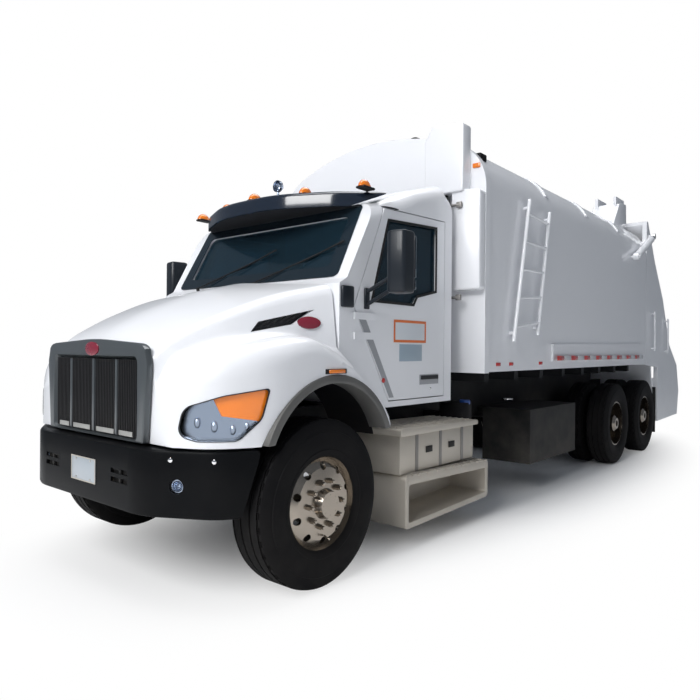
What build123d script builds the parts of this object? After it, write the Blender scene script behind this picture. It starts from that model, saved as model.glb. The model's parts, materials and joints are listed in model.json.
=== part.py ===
from build123d import *
from math import asin, cos, pi, radians, sin, sqrt
import os

# A tandem-axle rear-loading refuse truck with a conventional cab, in millimetres.
# +X points forward, +Y to the driver's side, +Z up, and the origin is on the ground
# under the middle of the truck. Places along the truck are given as distances behind
# the bumper's front face, and behind() turns them into x.

os.makedirs("parts", exist_ok=True)

# Overall
overall_length = 10050.0
run_gap = 10.0  # between panels that move past each other

# Axles and wheels
front_axle_at = 960.0
rear_axle_places = (6710.0, 8050.0)
tyre_radius = 530.0
rim_radius = 288.0
rim_flange = 305.0
front_tyre_width = 300.0
front_tyre_y = 1040.0
dual_tyre_width = 268.0
dual_inner_y = 769.0
dual_outer_y = 1081.0
hub_radius = 120.0
spindle_radius = 42.0
bearing_gap = 0.5
kingpin_y = 930.0
kingpin_radius = 24.0
steering_arm = 190.0

# Frame
rail_top = 1040.0
rail_height = 270.0
rail_outer_y = 430.0
rail_flange = 90.0
rail_wall = 10.0
rail_front_at = 200.0
rail_rear_at = 8400.0

# Bumper
bumper_low = 540.0
bumper_high = 920.0
bumper_half = 1150.0
bumper_wall = 14.0
plate_bolt_y = 89.0
plate_bolt_z = 725.0

# Hood
hood_hinge_at = 70.0
hood_hinge_z = 945.0
hood_wall = 25.0
hood_rear_at = 1240.0
fender_half = 1180.0
fender_inner = 600.0
fender_low = 935.0
flare_inner = 1060.0
flare_depth = 70.0
flare_low = 900.0
arch_at = 1050.0
arch_z = 700.0
arch_radius = 610.0

# Cab
cab_half = 1020.0
cab_front_at = 1260.0
cab_rear_at = 2720.0
cab_floor = 1060.0
cab_wall = 50.0
door_hinge_at = 1410.0
door_hinge_y = cab_half + 10.0
door_gap = 8.0
glass_wall = 8.0

# Body
body_front_at = 2930.0
body_seam_at = 7950.0
body_half = 1220.0
body_low = 1300.0
body_crown = 3500.0
body_crown_radius = 2400.0
body_shoulder = 450.0
body_wall = 60.0
subframe_half = 400.0
subframe_wall = 80.0

# Tailgate and packer
gate_pivot_at = 7900.0
gate_pivot_z = 3600.0
gate_wall = 60.0
hopper_at = 9280.0
hopper_z = 1260.0
hopper_radius = 760.0
packer_reach = 720.0
packer_slope = 52.0
packer_travel = 900.0
carriage_length = 950.0
carriage_depth = 180.0
packer_gap = 15.0
lift_foot_at = 7200.0
lift_foot_z = 2800.0
lift_eye_at = 8060.0
lift_eye_z = 3200.0
lift_y = 1290.0
lift_barrel_radius = 48.0
lift_rod_radius = 28.0
lift_pin_radius = 20.0


def behind(distance):
    return overall_length / 2 - distance


def block(s_range, y_range, z_range, mode=Mode.ADD):
    # A box between two places along the truck, two widths and two heights.
    middle = (
        behind(sum(s_range) / 2),
        sum(y_range) / 2,
        sum(z_range) / 2,
    )
    with Locations(middle):
        Box(
            abs(s_range[1] - s_range[0]),
            abs(y_range[1] - y_range[0]),
            abs(z_range[1] - z_range[0]),
            mode=mode,
        )


def side_plate(outline, y_range, mode=Mode.ADD):
    # A plate across the truck from an outline of (distance behind bumper, height).
    with BuildSketch(Plane.XZ.offset(-max(y_range))) as profile:
        with BuildLine():
            Polyline([(behind(s), z) for s, z in outline], close=True)
        make_face()
    extrude(profile.sketch, amount=abs(y_range[1] - y_range[0]), dir=(0, -1, 0), mode=mode)


def cross_plate(outline, s_range, mode=Mode.ADD):
    # A plate along the truck from an outline of (y, z).
    with BuildSketch(Plane.YZ.offset(behind(max(s_range)))) as profile:
        with BuildLine():
            Polyline(outline, close=True)
        make_face()
    extrude(profile.sketch, amount=abs(s_range[1] - s_range[0]), dir=(1, 0, 0), mode=mode)


def plan_plate(outline, z_range, mode=Mode.ADD):
    # An upright plate from an outline of (distance behind bumper, y).
    with BuildSketch(Plane.XY.offset(min(z_range))) as profile:
        with BuildLine():
            Polyline([(behind(s), y) for s, y in outline], close=True)
        make_face()
    extrude(profile.sketch, amount=abs(z_range[1] - z_range[0]), dir=(0, 0, 1), mode=mode)


def bar(start, end, radius, mode=Mode.ADD):
    # A round bar between two points given as (distance behind bumper, y, z).
    foot = Vector(behind(start[0]), start[1], start[2])
    tip = Vector(behind(end[0]), end[1], end[2])
    axis = tip - foot
    with BuildSketch(Plane(origin=foot, z_dir=axis)) as section:
        Circle(radius)
    extrude(section.sketch, amount=axis.length, dir=axis.normalized(), mode=mode)


def save(piece, name):
    piece.part.label = name
    export_step(piece.part, f"parts/{name}.step")


def save_right(left, name):
    # The right-hand copy of a left-hand piece.
    with BuildPart() as right:
        mirror(left.part, about=Plane.XZ)
    save(right, name)


# ---- frame, axles and drive line ----


def rail_section(side):
    # A channel that opens towards the middle of the truck.
    outer = side * rail_outer_y
    web = side * (rail_outer_y - rail_wall)
    lip = side * (rail_outer_y - rail_flange)
    low = rail_top - rail_height
    return [
        (outer, low),
        (outer, rail_top),
        (lip, rail_top),
        (lip, rail_top - rail_wall),
        (web, rail_top - rail_wall),
        (web, low + rail_wall),
        (lip, low + rail_wall),
        (lip, low),
    ]


def chassis_frame():
    crossmembers = (2350.0, 3500.0, 4700.0, 5900.0, 7380.0, 8330.0)
    with BuildPart() as frame:
        for side in (1, -1):
            cross_plate(rail_section(side), (rail_front_at, rail_rear_at))
            horn = (side * (rail_outer_y - rail_flange), side * rail_outer_y)
            block((bumper_wall + 1.0, rail_front_at), horn, (rail_top - rail_height, 900.0))
        web = rail_outer_y - rail_wall
        for place in crossmembers:
            block((place - 60, place + 60), (-web, web), (rail_top - 180, rail_top - 60))
        block((rail_front_at, rail_front_at + 80), (-web, web), (rail_top - 240, rail_top - 90))
    save(frame, "chassis_frame")


def front_axle():
    beam_half_depth = 45.0
    eye_low = tyre_radius - 60.0
    eye_high = tyre_radius + 60.0
    with BuildPart() as axle:
        cross_plate(
            [
                (-kingpin_y, eye_low),
                (-kingpin_y + 80, eye_low),
                (-640, 370),
                (640, 370),
                (kingpin_y - 80, eye_low),
                (kingpin_y, eye_low),
                (kingpin_y, eye_high),
                (600, 470),
                (-600, 470),
                (-kingpin_y, eye_high),
            ],
            (front_axle_at - beam_half_depth, front_axle_at + beam_half_depth),
        )
        for side in (1, -1):
            y = side * kingpin_y
            bar((front_axle_at, y, eye_low), (front_axle_at, y, eye_high), 52.0)
            bar(
                (front_axle_at, y, eye_low - 10),
                (front_axle_at, y, eye_high + 10),
                kingpin_radius + bearing_gap,
                mode=Mode.SUBTRACT,
            )
    save(axle, "front_axle")


def front_springs():
    rail_low = rail_top - rail_height
    with BuildPart() as springs:
        for side in (1, -1):
            across = (side * (rail_outer_y - 80), side * rail_outer_y)
            side_plate(
                [
                    (390, 650),
                    (680, 540),
                    (860, 470),
                    (1060, 470),
                    (1240, 540),
                    (1560, 650),
                    (1560, 672),
                    (1240, 580),
                    (1060, 560),
                    (860, 560),
                    (680, 580),
                    (390, 672),
                ],
                across,
            )
            for place in (390.0, 1560.0):
                block((place - 45, place + 45), across, (640, rail_low))
    save(springs, "front_springs")


def axle_plane(place, height=tyre_radius):
    # Local x runs outward along the axle (+Y) and local y upward.
    return Plane(origin=(behind(place), 0, height), x_dir=(0, 1, 0), z_dir=(1, 0, 0))


def tyre_ring(place, centre_y, width):
    half = width / 2
    shoulder = 55.0
    with BuildSketch(axle_plane(place)) as section:
        with BuildLine():
            Polyline(
                [
                    (centre_y - half + 30, rim_radius),
                    (centre_y - half, rim_flange + 60),
                    (centre_y - half, tyre_radius - shoulder),
                    (centre_y - half + 28, tyre_radius - 8),
                    (centre_y - half + 60, tyre_radius),
                    (centre_y + half - 60, tyre_radius),
                    (centre_y + half - 28, tyre_radius - 8),
                    (centre_y + half, tyre_radius - shoulder),
                    (centre_y + half, rim_flange + 60),
                    (centre_y + half - 30, rim_radius),
                ],
                close=True,
            )
        make_face()
    turn = Axis((behind(place), 0, tyre_radius), (0, 1, 0))
    revolve(section.sketch, axis=turn)


def turned(place, steps, mode=Mode.ADD):
    # A turned piece from (y, radius) steps about an axle.
    with BuildSketch(axle_plane(place)) as section:
        with BuildLine():
            Polyline(steps, close=True)
        make_face()
    revolve(section.sketch, axis=Axis((behind(place), 0, tyre_radius), (0, 1, 0)), mode=mode)


def hand_holes(place, y_range, count, ring, radius):
    for turn in range(count):
        angle = 2 * pi * (turn + 0.5) / count
        x = place + ring * cos(angle)
        z = tyre_radius + ring * sin(angle)
        bar((x, y_range[0], z), (x, y_range[1], z), radius, mode=Mode.SUBTRACT)


def front_wheel():
    half = front_tyre_width / 2
    inner = front_tyre_y - half
    outer = front_tyre_y + half
    disc = outer - 18.0
    bore = spindle_radius + bearing_gap
    with BuildPart() as tyre:
        tyre_ring(front_axle_at, front_tyre_y, front_tyre_width)
    save(tyre, "front_tyre_left")
    save_right(tyre, "front_tyre_right")
    with BuildPart() as rim:
        turned(
            front_axle_at,
            [
                (inner + 30, rim_radius),
                (inner + 30, rim_radius - 14),
                (disc - 60, rim_radius - 20),
                (disc - 24, 215),
                (disc - 14, 150),
                (disc - 70, 140),
                (inner + 126, 150),
                (inner + 126, bore),
                (outer + 20, bore),
                (outer + 20, 0),
                (outer + 34, 0),
                (outer + 34, 80),
                (disc + 4, 96),
                (disc, 150),
                (disc - 8, 225),
                (disc - 46, rim_radius - 8),
                (outer - 30, rim_radius),
            ],
        )
        hand_holes(front_axle_at, (inner, outer + 10), 10, 232.0, 24.0)
    save(rim, "front_rim_left")
    save_right(rim, "front_rim_right")


def rear_wheels():
    half = dual_tyre_width / 2
    middle = (dual_inner_y + dual_outer_y) / 2
    outer = dual_outer_y + half
    inner = dual_inner_y - half
    bore = spindle_radius + bearing_gap
    for place, name in zip(rear_axle_places, ("mid", "rear")):
        with BuildPart() as tyres:
            tyre_ring(place, dual_inner_y, dual_tyre_width)
            tyre_ring(place, dual_outer_y, dual_tyre_width)
        save(tyres, f"{name}_tyres_left")
        save_right(tyres, f"{name}_tyres_right")
        with BuildPart() as rims:
            turned(
                place,
                [
                    (inner + 30, rim_radius),
                    (inner + 30, rim_radius - 14),
                    (middle - 40, rim_radius - 20),
                    (middle - 14, 215),
                    (middle - 12, 150),
                    (inner + 60, 145),
                    (inner + 60, bore),
                    (outer - 20, bore),
                    (outer - 20, 70),
                    (outer - 50, 105),
                    (middle + 30, 120),
                    (middle + 12, 150),
                    (middle + 14, 215),
                    (middle + 40, rim_radius - 20),
                    (outer - 30, rim_radius - 14),
                    (outer - 30, rim_radius),
                ],
            )
            hand_holes(place, (inner, outer), 10, 232.0, 24.0)
        save(rims, f"{name}_rims_left")
        save_right(rims, f"{name}_rims_right")


def steering_knuckle():
    eye_low = tyre_radius - 60.0
    eye_high = tyre_radius + 60.0
    pin = front_axle_at
    arm_end = pin + steering_arm
    reach = front_tyre_y + front_tyre_width / 2 + 8.0
    with BuildPart() as knuckle:
        for low, high in ((eye_low - 46, eye_low - 4), (eye_high + 4, eye_high + 46)):
            bar((pin, kingpin_y, low), (pin, kingpin_y, high), 56.0)
            block((pin - 50, pin + 50), (kingpin_y + 10, kingpin_y + 70), (low, high))
        block((pin - 50, pin + 50), (kingpin_y + 56, kingpin_y + 80), (eye_low - 46, eye_high + 46))
        bar((pin, kingpin_y, eye_low - 46), (pin, kingpin_y, eye_high + 46), kingpin_radius)
        bar((pin, kingpin_y + 60, tyre_radius), (pin, reach, tyre_radius), spindle_radius)
        arm_z = eye_low - 46
        block((pin, arm_end + 22), (kingpin_y - 22, kingpin_y + 22), (arm_z, arm_z + 36))
        bar((arm_end, kingpin_y, arm_z - 40), (arm_end, kingpin_y, arm_z + 4), 12.0)
    save(knuckle, "steering_knuckle_left")
    save_right(knuckle, "steering_knuckle_right")


def tie_rod():
    rod_y = kingpin_y
    rod_z = tyre_radius - 60.0 - 46.0 - 24.0
    place = front_axle_at + steering_arm
    with BuildPart() as rod:
        bar((place, -rod_y, rod_z), (place, rod_y, rod_z), 16.0)
        for side in (1, -1):
            bar((place, side * rod_y, rod_z - 19), (place, side * rod_y, rod_z + 19), 24.0)
        for side in (1, -1):
            bar(
                (place, side * rod_y, rod_z - 30),
                (place, side * rod_y, rod_z + 30),
                12.0 + bearing_gap,
                mode=Mode.SUBTRACT,
            )
    save(rod, "tie_rod")


def rear_axles():
    with BuildPart() as axles:
        for place in rear_axle_places:
            tube = dual_inner_y - dual_tyre_width / 2 + 40.0
            bar((place, -tube, tyre_radius), (place, tube, tyre_radius), 62.0)
            reach = dual_outer_y + dual_tyre_width / 2 - 40.0
            bar((place, -reach, tyre_radius), (place, reach, tyre_radius), spindle_radius)
            with Locations((behind(place), 0, tyre_radius)):
                Sphere(205.0)
            bar((place - 330, 0, tyre_radius + 40), (place, 0, tyre_radius + 40), 80.0)
        bar((rear_axle_places[0], 0, tyre_radius + 40), (rear_axle_places[1], 0, tyre_radius + 40), 45.0)
    save(axles, "rear_axles")


def rear_suspension():
    rail_low = rail_top - rail_height
    middle = sum(rear_axle_places) / 2
    first, last = rear_axle_places
    with BuildPart() as suspension:
        for side in (1, -1):
            beam = (side * (rail_outer_y + 40), side * (rail_outer_y + 130))
            side_plate(
                [
                    (first - 80, 400),
                    (middle - 150, 400),
                    (middle, 380),
                    (middle + 150, 400),
                    (last + 80, 400),
                    (last + 80, 466),
                    (last - 90, 466),
                    (middle + 160, 560),
                    (middle - 160, 560),
                    (first + 90, 466),
                    (first - 80, 466),
                ],
                beam,
            )
            saddle = (side * (rail_outer_y - 60), side * (rail_outer_y + 130))
            block((middle - 130, middle + 130), saddle, (540, rail_low - 30))
            block((middle - 420, middle + 420), saddle, (rail_low - 40, rail_low))
        bar((middle, -rail_outer_y - 60, 470), (middle, rail_outer_y + 60, 470), 40.0)
    save(suspension, "rear_suspension")


def drive_line():
    with BuildPart() as shaft:
        nose = rear_axle_places[0] - 330.0
        bar((2250, 0, 780), (4300, 0, 780), 48.0)
        bar((4280, 0, 780), (nose - 40, 0, tyre_radius + 44), 48.0)
        bar((nose - 70, 0, tyre_radius + 40), (nose, 0, tyre_radius + 40), 62.0)
    save(shaft, "drive_shaft")


def engine():
    with BuildPart() as motor:
        block((430, 1200), (-300, 300), (620, 1420))
        chamfer(motor.edges().filter_by(Axis.X), length=60)
    save(motor, "engine_block")
    with BuildPart() as gearbox:
        side_plate([(1200, 640), (1200, 1030), (1500, 1030), (2250, 920), (2250, 700)], (-250, 250))
    save(gearbox, "transmission")
    with BuildPart() as cooler:
        block((250, 340), (-440, 440), (rail_top, 1430))
    save(cooler, "radiator")


# ---- bumper, hood and lamps ----


def bumper_plan(inset):
    # Plan outline of the bumper's outside, or of its inside by an inset.
    side = bumper_half - inset
    return [
        (inset, 0),
        (inset, 760),
        (60 + inset, 980),
        (190 + inset, side - 50),
        (330 + inset, side),
        (460, side),
    ]


def bumper():
    with BuildPart() as beam:
        for side in (1, -1):
            outer = [(s, side * y) for s, y in bumper_plan(0.0)]
            plan_plate(outer + [(460, 0)], (bumper_low, bumper_high))
        for side in (1, -1):
            inner = [(s, side * y) for s, y in bumper_plan(bumper_wall)]
            plan_plate(
                inner + [(470, side * (bumper_half - bumper_wall)), (470, 0)],
                (bumper_low + bumper_wall, bumper_high - bumper_wall),
                mode=Mode.SUBTRACT,
            )
        # The returns reach back only as far as the flange.
        block((110, 470), (-900, 900), (bumper_low - 1, bumper_high + 1), mode=Mode.SUBTRACT)
        # The ends follow the tyre.
        for side in (1, -1):
            side_plate(
                [(345, bumper_low - 1), (470, bumper_high + 1), (480, bumper_high + 1), (480, bumper_low - 1)],
                (side * 900, side * (bumper_half + 1)),
                mode=Mode.SUBTRACT,
            )
            bar((-5, side * plate_bolt_y, plate_bolt_z), (40, side * plate_bolt_y, plate_bolt_z), 4.0, mode=Mode.SUBTRACT)
            for slot in (330.0, 440.0):
                block((-5, 40), (side * slot, side * (slot + 70)), (700, 780), mode=Mode.SUBTRACT)
    save(beam, "bumper")


hood_sections = (
    # place behind the bumper, half width low, half width high, top at the side, crown height
    (110.0, 600.0, 520.0, 1380.0, 1450.0),
    (420.0, 720.0, 600.0, 1620.0, 1710.0),
    (1240.0, 985.0, 800.0, 1900.0, 1985.0),
)


def hood_section(row, inset, place):
    low_half, high_half, side_top, crown = row[1:]
    base = 1000.0
    with BuildSketch(Plane.YZ.offset(behind(place))) as section:
        with BuildLine():
            Polyline(
                (-high_half + inset, side_top - inset),
                (-low_half + inset, base - 2 * inset),
                (low_half - inset, base - 2 * inset),
                (high_half - inset, side_top - inset),
            )
            ThreePointArc(
                (high_half - inset, side_top - inset),
                (0, crown - inset),
                (-high_half + inset, side_top - inset),
            )
        make_face()
        fillet(section.vertices().group_by(Axis.Y)[-1], radius=90.0 - inset)
    return section.sketch


def hood_centre(inset, mode):
    sections = [hood_section(row, inset, row[0]) for row in hood_sections]
    loft(sections, ruled=False, mode=mode)


def hood():
    with BuildPart() as shell:
        hood_centre(0.0, Mode.ADD)
        for side in (1, -1):
            fender(side, 0.0, Mode.ADD)
        hood_centre(hood_wall, Mode.SUBTRACT)
        for side in (1, -1):
            fender(side, hood_wall, Mode.SUBTRACT)
            bar(
                (arch_at, side * 560, arch_z),
                (arch_at, side * 1300, arch_z),
                arch_radius,
                mode=Mode.SUBTRACT,
            )
            flare(side)
        # The nose is open for the grille.
        block((0, 200), (-500, 500), (950, 1400), mode=Mode.SUBTRACT)
    save(shell, "hood_shell")


def fender(side, inset, mode):
    # A fender that bulges beside the hood.
    top = 1450.0 - inset
    low = fender_low - 3 * inset
    with BuildSketch(Plane.XZ.offset(-side * (fender_half - inset))) as profile:
        with BuildLine():
            start = (behind(90 + inset), low)
            nose = (behind(90 + inset), 1150)
            crest = (behind(620), top)
            rear = (behind(hood_rear_at + 3 * inset), top)
            foot = (behind(hood_rear_at + 3 * inset), low)
            Polyline(start, nose)
            ThreePointArc(nose, (behind(270 + inset), 1370 - inset), crest)
            Polyline(crest, rear, foot, start)
        make_face()
    extrude(
        profile.sketch,
        amount=fender_half - inset - fender_inner,
        dir=(0, -side, 0),
        mode=mode,
    )


def flare(side):
    # The lip of the wheel arch runs on behind the hood, outside the cab's corner.
    with BuildSketch(Plane.XZ.offset(-side * fender_half)) as profile:
        with Locations((behind(arch_at), arch_z)):
            Circle(arch_radius + flare_depth)
            Circle(arch_radius, mode=Mode.SUBTRACT)
        with Locations((behind(hood_rear_at - 60 - 1000), arch_z)):
            Rectangle(2000, 2000, mode=Mode.SUBTRACT)
        with Locations((behind(arch_at), flare_low - 500)):
            Rectangle(2000, 1000, mode=Mode.SUBTRACT)
    extrude(profile.sketch, amount=fender_half - flare_inner, dir=(0, -side, 0))


def grille():
    with BuildPart() as surround:
        block((85, 110), (-600, 600), (960, 1450))
        block((80, 115), (-500, 500), (1000, 1400), mode=Mode.SUBTRACT)
    save(surround, "grille_surround")
    with BuildPart() as bars:
        for bay in range(5):
            y = -400.0 + 200.0 * bay
            block((92, 110), (y - 14, y + 14), (1000, 1400))
        for row in range(4):
            z = 1040.0 + 100.0 * row
            block((98, 108), (-500, 500), (z - 6, z + 6))
    save(bars, "grille_bars")


def headlamps():
    with BuildPart() as lamps:
        for side in (1, -1):
            side_plate(
                [(100, 960), (100, 1180), (420, 1290), (330, 1000)],
                (side * (fender_half), side * (fender_half + 8)),
            )
    save(lamps, "headlamps")


# ---- cab ----

cab_outline = (
    (1260.0, 1480.0),
    (1260.0, 1940.0),
    (1340.0, 1985.0),
    (1660.0, 2560.0),
    (2180.0, 2760.0),
    (2600.0, 2880.0),
    (2720.0, 2800.0),
    (2720.0, 1060.0),
    (1800.0, 1060.0),
)


def cab():
    with BuildPart() as shell:
        side_plate(cab_outline, (-cab_half, cab_half))
        roof_edges = shell.edges().filter_by(GeomType.LINE).filter_by(
            lambda edge: edge.center().Z > 2500 and abs(abs(edge.center().Y) - cab_half) < 1
        )
        fillet(roof_edges, radius=120)
        side_plate(
            [
                (1310, 1500),
                (1310, 1920),
                (1390, 1960),
                (1700, 2510),
                (2190, 2700),
                (2600, 2815),
                (2670, 2760),
                (2670, 1110),
                (1815, 1110),
            ],
            (-cab_half + cab_wall, cab_half - cab_wall),
            mode=Mode.SUBTRACT,
        )
        for side in (1, -1):
            door_opening(side)
        windscreen_cut()
        block((2600, 2800), (-700, 700), (1950, 2450), mode=Mode.SUBTRACT)
    save(shell, "cab_shell")


def door_opening(side):
    with BuildSketch(Plane.XZ.offset(-side * (cab_half + 1))) as opening:
        with BuildLine():
            Polyline([(behind(s), z) for s, z in door_outline], close=True)
        make_face()
        offset(amount=door_gap, kind=Kind.INTERSECTION)
    extrude(opening.sketch, amount=120, dir=(0, -side, 0), mode=Mode.SUBTRACT)


def windscreen_cut():
    with BuildSketch(screen_plane()) as opening:
        RectangleRounded(1640, 470, 60)
    extrude(opening.sketch, amount=120, both=True, mode=Mode.SUBTRACT)


def screen_plane():
    # The windscreen leans back between the cowl and the roof's front edge.
    low = Vector(behind(1340), 0, 1985)
    high = Vector(behind(1660), 0, 2560)
    slope = (high - low).normalized()
    normal = Vector(0, 1, 0).cross(slope)
    return Plane(origin=(low + high) * 0.5, x_dir=(0, 1, 0), z_dir=normal)


door_outline = (
    (1420.0, 1790.0),
    (1760.0, 2530.0),
    (2600.0, 2560.0),
    (2600.0, 1110.0),
    (1830.0, 1110.0),
)

window_outline = (
    (1600.0, 1830.0),
    (1800.0, 2460.0),
    (2480.0, 2500.0),
    (2480.0, 1960.0),
    (2200.0, 1900.0),
    (2150.0, 1830.0),
)


def door():
    inner = cab_half - cab_wall
    with BuildPart() as panel:
        side_plate(door_outline, (inner, cab_half))
        side_plate(window_outline, (inner - 1, cab_half + 1), mode=Mode.SUBTRACT)
        for low in (1560.0, 1700.0):
            block((1560, 1640), (cab_half - 10, cab_half + 11), (low, low + 50))
            block((door_hinge_at, 1600), (cab_half + 2, cab_half + 11), (low, low + 50))
            bar((door_hinge_at, door_hinge_y, low), (door_hinge_at, door_hinge_y, low + 50), 8.0)
    save(panel, "door_left")
    save_right(panel, "door_right")
    with BuildPart() as glass:
        side_plate(window_outline, (cab_half - 30, cab_half - 30 + glass_wall))
    save(glass, "door_glass_left")
    save_right(glass, "door_glass_right")


def cab_glass():
    with BuildPart() as glass:
        with BuildSketch(screen_plane().offset(-25)) as pane:
            RectangleRounded(1640, 470, 60)
        extrude(pane.sketch, amount=glass_wall)
        block((2690, 2690 + glass_wall), (-700, 700), (1950, 2450))
    save(glass, "cab_glass")


def sun_visor():
    with BuildPart() as visor:
        plan_plate(
            [(1250, -650), (1330, -950), (1560, -1040), (1640, -1040), (1640, 1040), (1560, 1040), (1330, 950), (1250, 650)],
            (2560, 2585),
        )
    save(visor, "sun_visor")


def cab_inside():
    with BuildPart() as dash:
        side_plate([(1320, 1600), (1320, 1900), (1500, 1860), (1560, 1640), (1500, 1500)], (-960, 960))
    save(dash, "dashboard")
    with BuildPart() as seats:
        for side in (1, -1):
            y = side * 480
            block((2000, 2500), (y - 250, y + 250), (1111, 1500))
            block((2420, 2560), (y - 250, y + 250), (1500, 2200))
    save(seats, "seats")
    with BuildPart() as wheel:
        column = Plane(origin=(behind(1760), 480, 1800), z_dir=(-0.5, 0, 0.86))
        with BuildSketch(Plane(origin=column.origin, x_dir=column.z_dir, z_dir=(0, 1, 0))) as hub:
            with Locations((0, 215)):
                Circle(16)
        revolve(hub.sketch, axis=Axis(column.origin, column.z_dir))
        with BuildSketch(column) as spokes:
            Circle(60)
            for angle in (90, 210, 330):
                with Locations(Rot(0, 0, angle)):
                    with Locations((110, 0)):
                        Rectangle(200, 30)
        extrude(spokes.sketch, amount=12, both=True)
        bar((1760, 480, 1800), (1600, 480, 1700), 30.0)
    save(wheel, "steering_wheel")


def mirrors():
    with BuildPart() as glass:
        block((1470, 1620), (1210, 1390), (1850, 2250))
        bar((1480, cab_half, 1870), (1480, 1220, 1870), 16.0)
        bar((1560, cab_half, 2000), (1560, 1220, 2000), 16.0)
    save(glass, "mirror_left")
    save_right(glass, "mirror_right")


# ---- under the cab and the frame ----


def side_boxes():
    with BuildPart() as steps:
        block((1800, 2950), (640, 1120), (560, 900))
        block((1860, 3150), (760, 1150), (180, 520))
        block((1900, 3100), (800, 1120), (500, 580))
        block((2000, 2700), (rail_outer_y, 660), (700, 860))
    save(steps, "battery_steps")
    with BuildPart() as fuel:
        bar((1830, -800, 640), (3150, -800, 640), 310.0)
        block((2000, 2100), (-560, -rail_outer_y), (500, 800))
        block((2850, 2950), (-560, -rail_outer_y), (500, 800))
    save(fuel, "fuel_tank")
    with BuildPart() as tank:
        block((4170, 5440), (560, 1100), (320, 880))
        block((4300, 5300), (rail_outer_y, 570), (780, 860))
    save(tank, "hydraulic_tank")
    with BuildPart() as drum:
        bar((3250, 760, 560), (3250, 760, 1000), 150.0)
        block((3200, 3300), (rail_outer_y, 640), (780, 900))
    save(drum, "fluid_tank")
    with BuildPart() as air:
        bar((4200, -700, 620), (5200, -700, 620), 150.0)
        block((4400, 4500), (-600, -rail_outer_y), (700, 800))
        block((4900, 5000), (-600, -rail_outer_y), (700, 800))
    save(air, "air_tank")


# ---- refuse body ----


def body_section(inset, place):
    half = body_half - inset
    crown = body_crown - inset
    edge = crown - body_crown_radius + sqrt(body_crown_radius**2 - half**2)
    low = body_low + inset
    with BuildSketch(Plane.YZ.offset(behind(place))) as section:
        with BuildLine():
            Polyline((half, edge), (half, low), (-half, low), (-half, edge))
            ThreePointArc((-half, edge), (0, crown), (half, edge))
        make_face()
        fillet(section.vertices().group_by(Axis.Y)[-1], radius=body_shoulder - inset)
    return section.sketch


def body():
    length = body_seam_at - body_front_at
    with BuildPart() as shell:
        extrude(body_section(0.0, body_seam_at), amount=length, dir=(1, 0, 0))
        extrude(
            body_section(body_wall, body_seam_at),
            amount=length - body_wall,
            dir=(1, 0, 0),
            mode=Mode.SUBTRACT,
        )
        for side in (1, -1):
            block((7560, 7940), (side * 600, side * 640), (3380, 3760))
            block((7560, 7940), (side * 860, side * 900), (3300, 3760))
            bar(
                (gate_pivot_at, side * 595, gate_pivot_z),
                (gate_pivot_at, side * 905, gate_pivot_z),
                30.0,
            )
            bar(
                (lift_foot_at, side * (body_half - 10), lift_foot_z),
                (lift_foot_at, side * (lift_y + 50), lift_foot_z),
                lift_pin_radius,
            )
    save(shell, "body_shell")


def subframe():
    with BuildPart() as sills:
        for side in (1, -1):
            across = (side * (subframe_half - 40), side * (subframe_half + 40))
            block((body_front_at, 7900), across, (rail_top, body_low))
        for place in range(3100, 7900, 600):
            block((place - 40, place + 40), (-body_half + 60, body_half - 60), (body_low - 90, body_low))
    save(sills, "body_subframe")


def ledge():
    with BuildPart() as sills:
        for side in (1, -1):
            across = (side * body_half, side * (body_half + 25))
            side_plate([(4400, 1380), (4400, 1560), (7660, 1600), (7660, 1380)], across)
    save(sills, "body_ledges")


def ladder():
    with BuildPart() as rungs:
        y = body_half + 50.0
        tops = ((3730, 2930), (4210, 2890))
        feet = ((3410, 1570), (3940, 1640))
        for top, foot in zip(tops, feet):
            bar((foot[0], y, foot[1]), (top[0], y, top[1]), 18.0)
            for share in (0.06, 0.94):
                s = foot[0] + share * (top[0] - foot[0])
                z = foot[1] + share * (top[1] - foot[1])
                bar((s, body_half, z), (s, y, z), 14.0)
        for rung in range(5):
            share = 0.1 + 0.2 * rung
            ends = [
                (f[0] + share * (t[0] - f[0]), y, f[1] + share * (t[1] - f[1])) for t, f in zip(tops, feet)
            ]
            bar(ends[0], ends[1], 12.0)
    save(rungs, "body_ladder")


def towers():
    with BuildPart() as boxes:
        block((2800, body_front_at), (660, 1000), (2900, 3500))
        block((2800, body_front_at), (930, 1170), (2010, 3100))
    save(boxes, "front_towers")


def ejector():
    with BuildPart() as panel:
        side_plate(
            [(3200, 1375), (3260, 2900), (3500, 2900), (3900, 1375)],
            (-1140, 1140),
        )
    save(panel, "ejector_panel")


# ---- tailgate ----

gate_outline = (
    (7960.0, 1290.0),
    (7960.0, 3420.0),
    (8030.0, 3420.0),
    (8440.0, 2860.0),
    (8940.0, 2320.0),
    (9380.0, 1600.0),
    (9900.0, 1260.0),
    (10050.0, 820.0),
    (9950.0, 420.0),
    (8650.0, 400.0),
    (8650.0, 1250.0),
)


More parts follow.
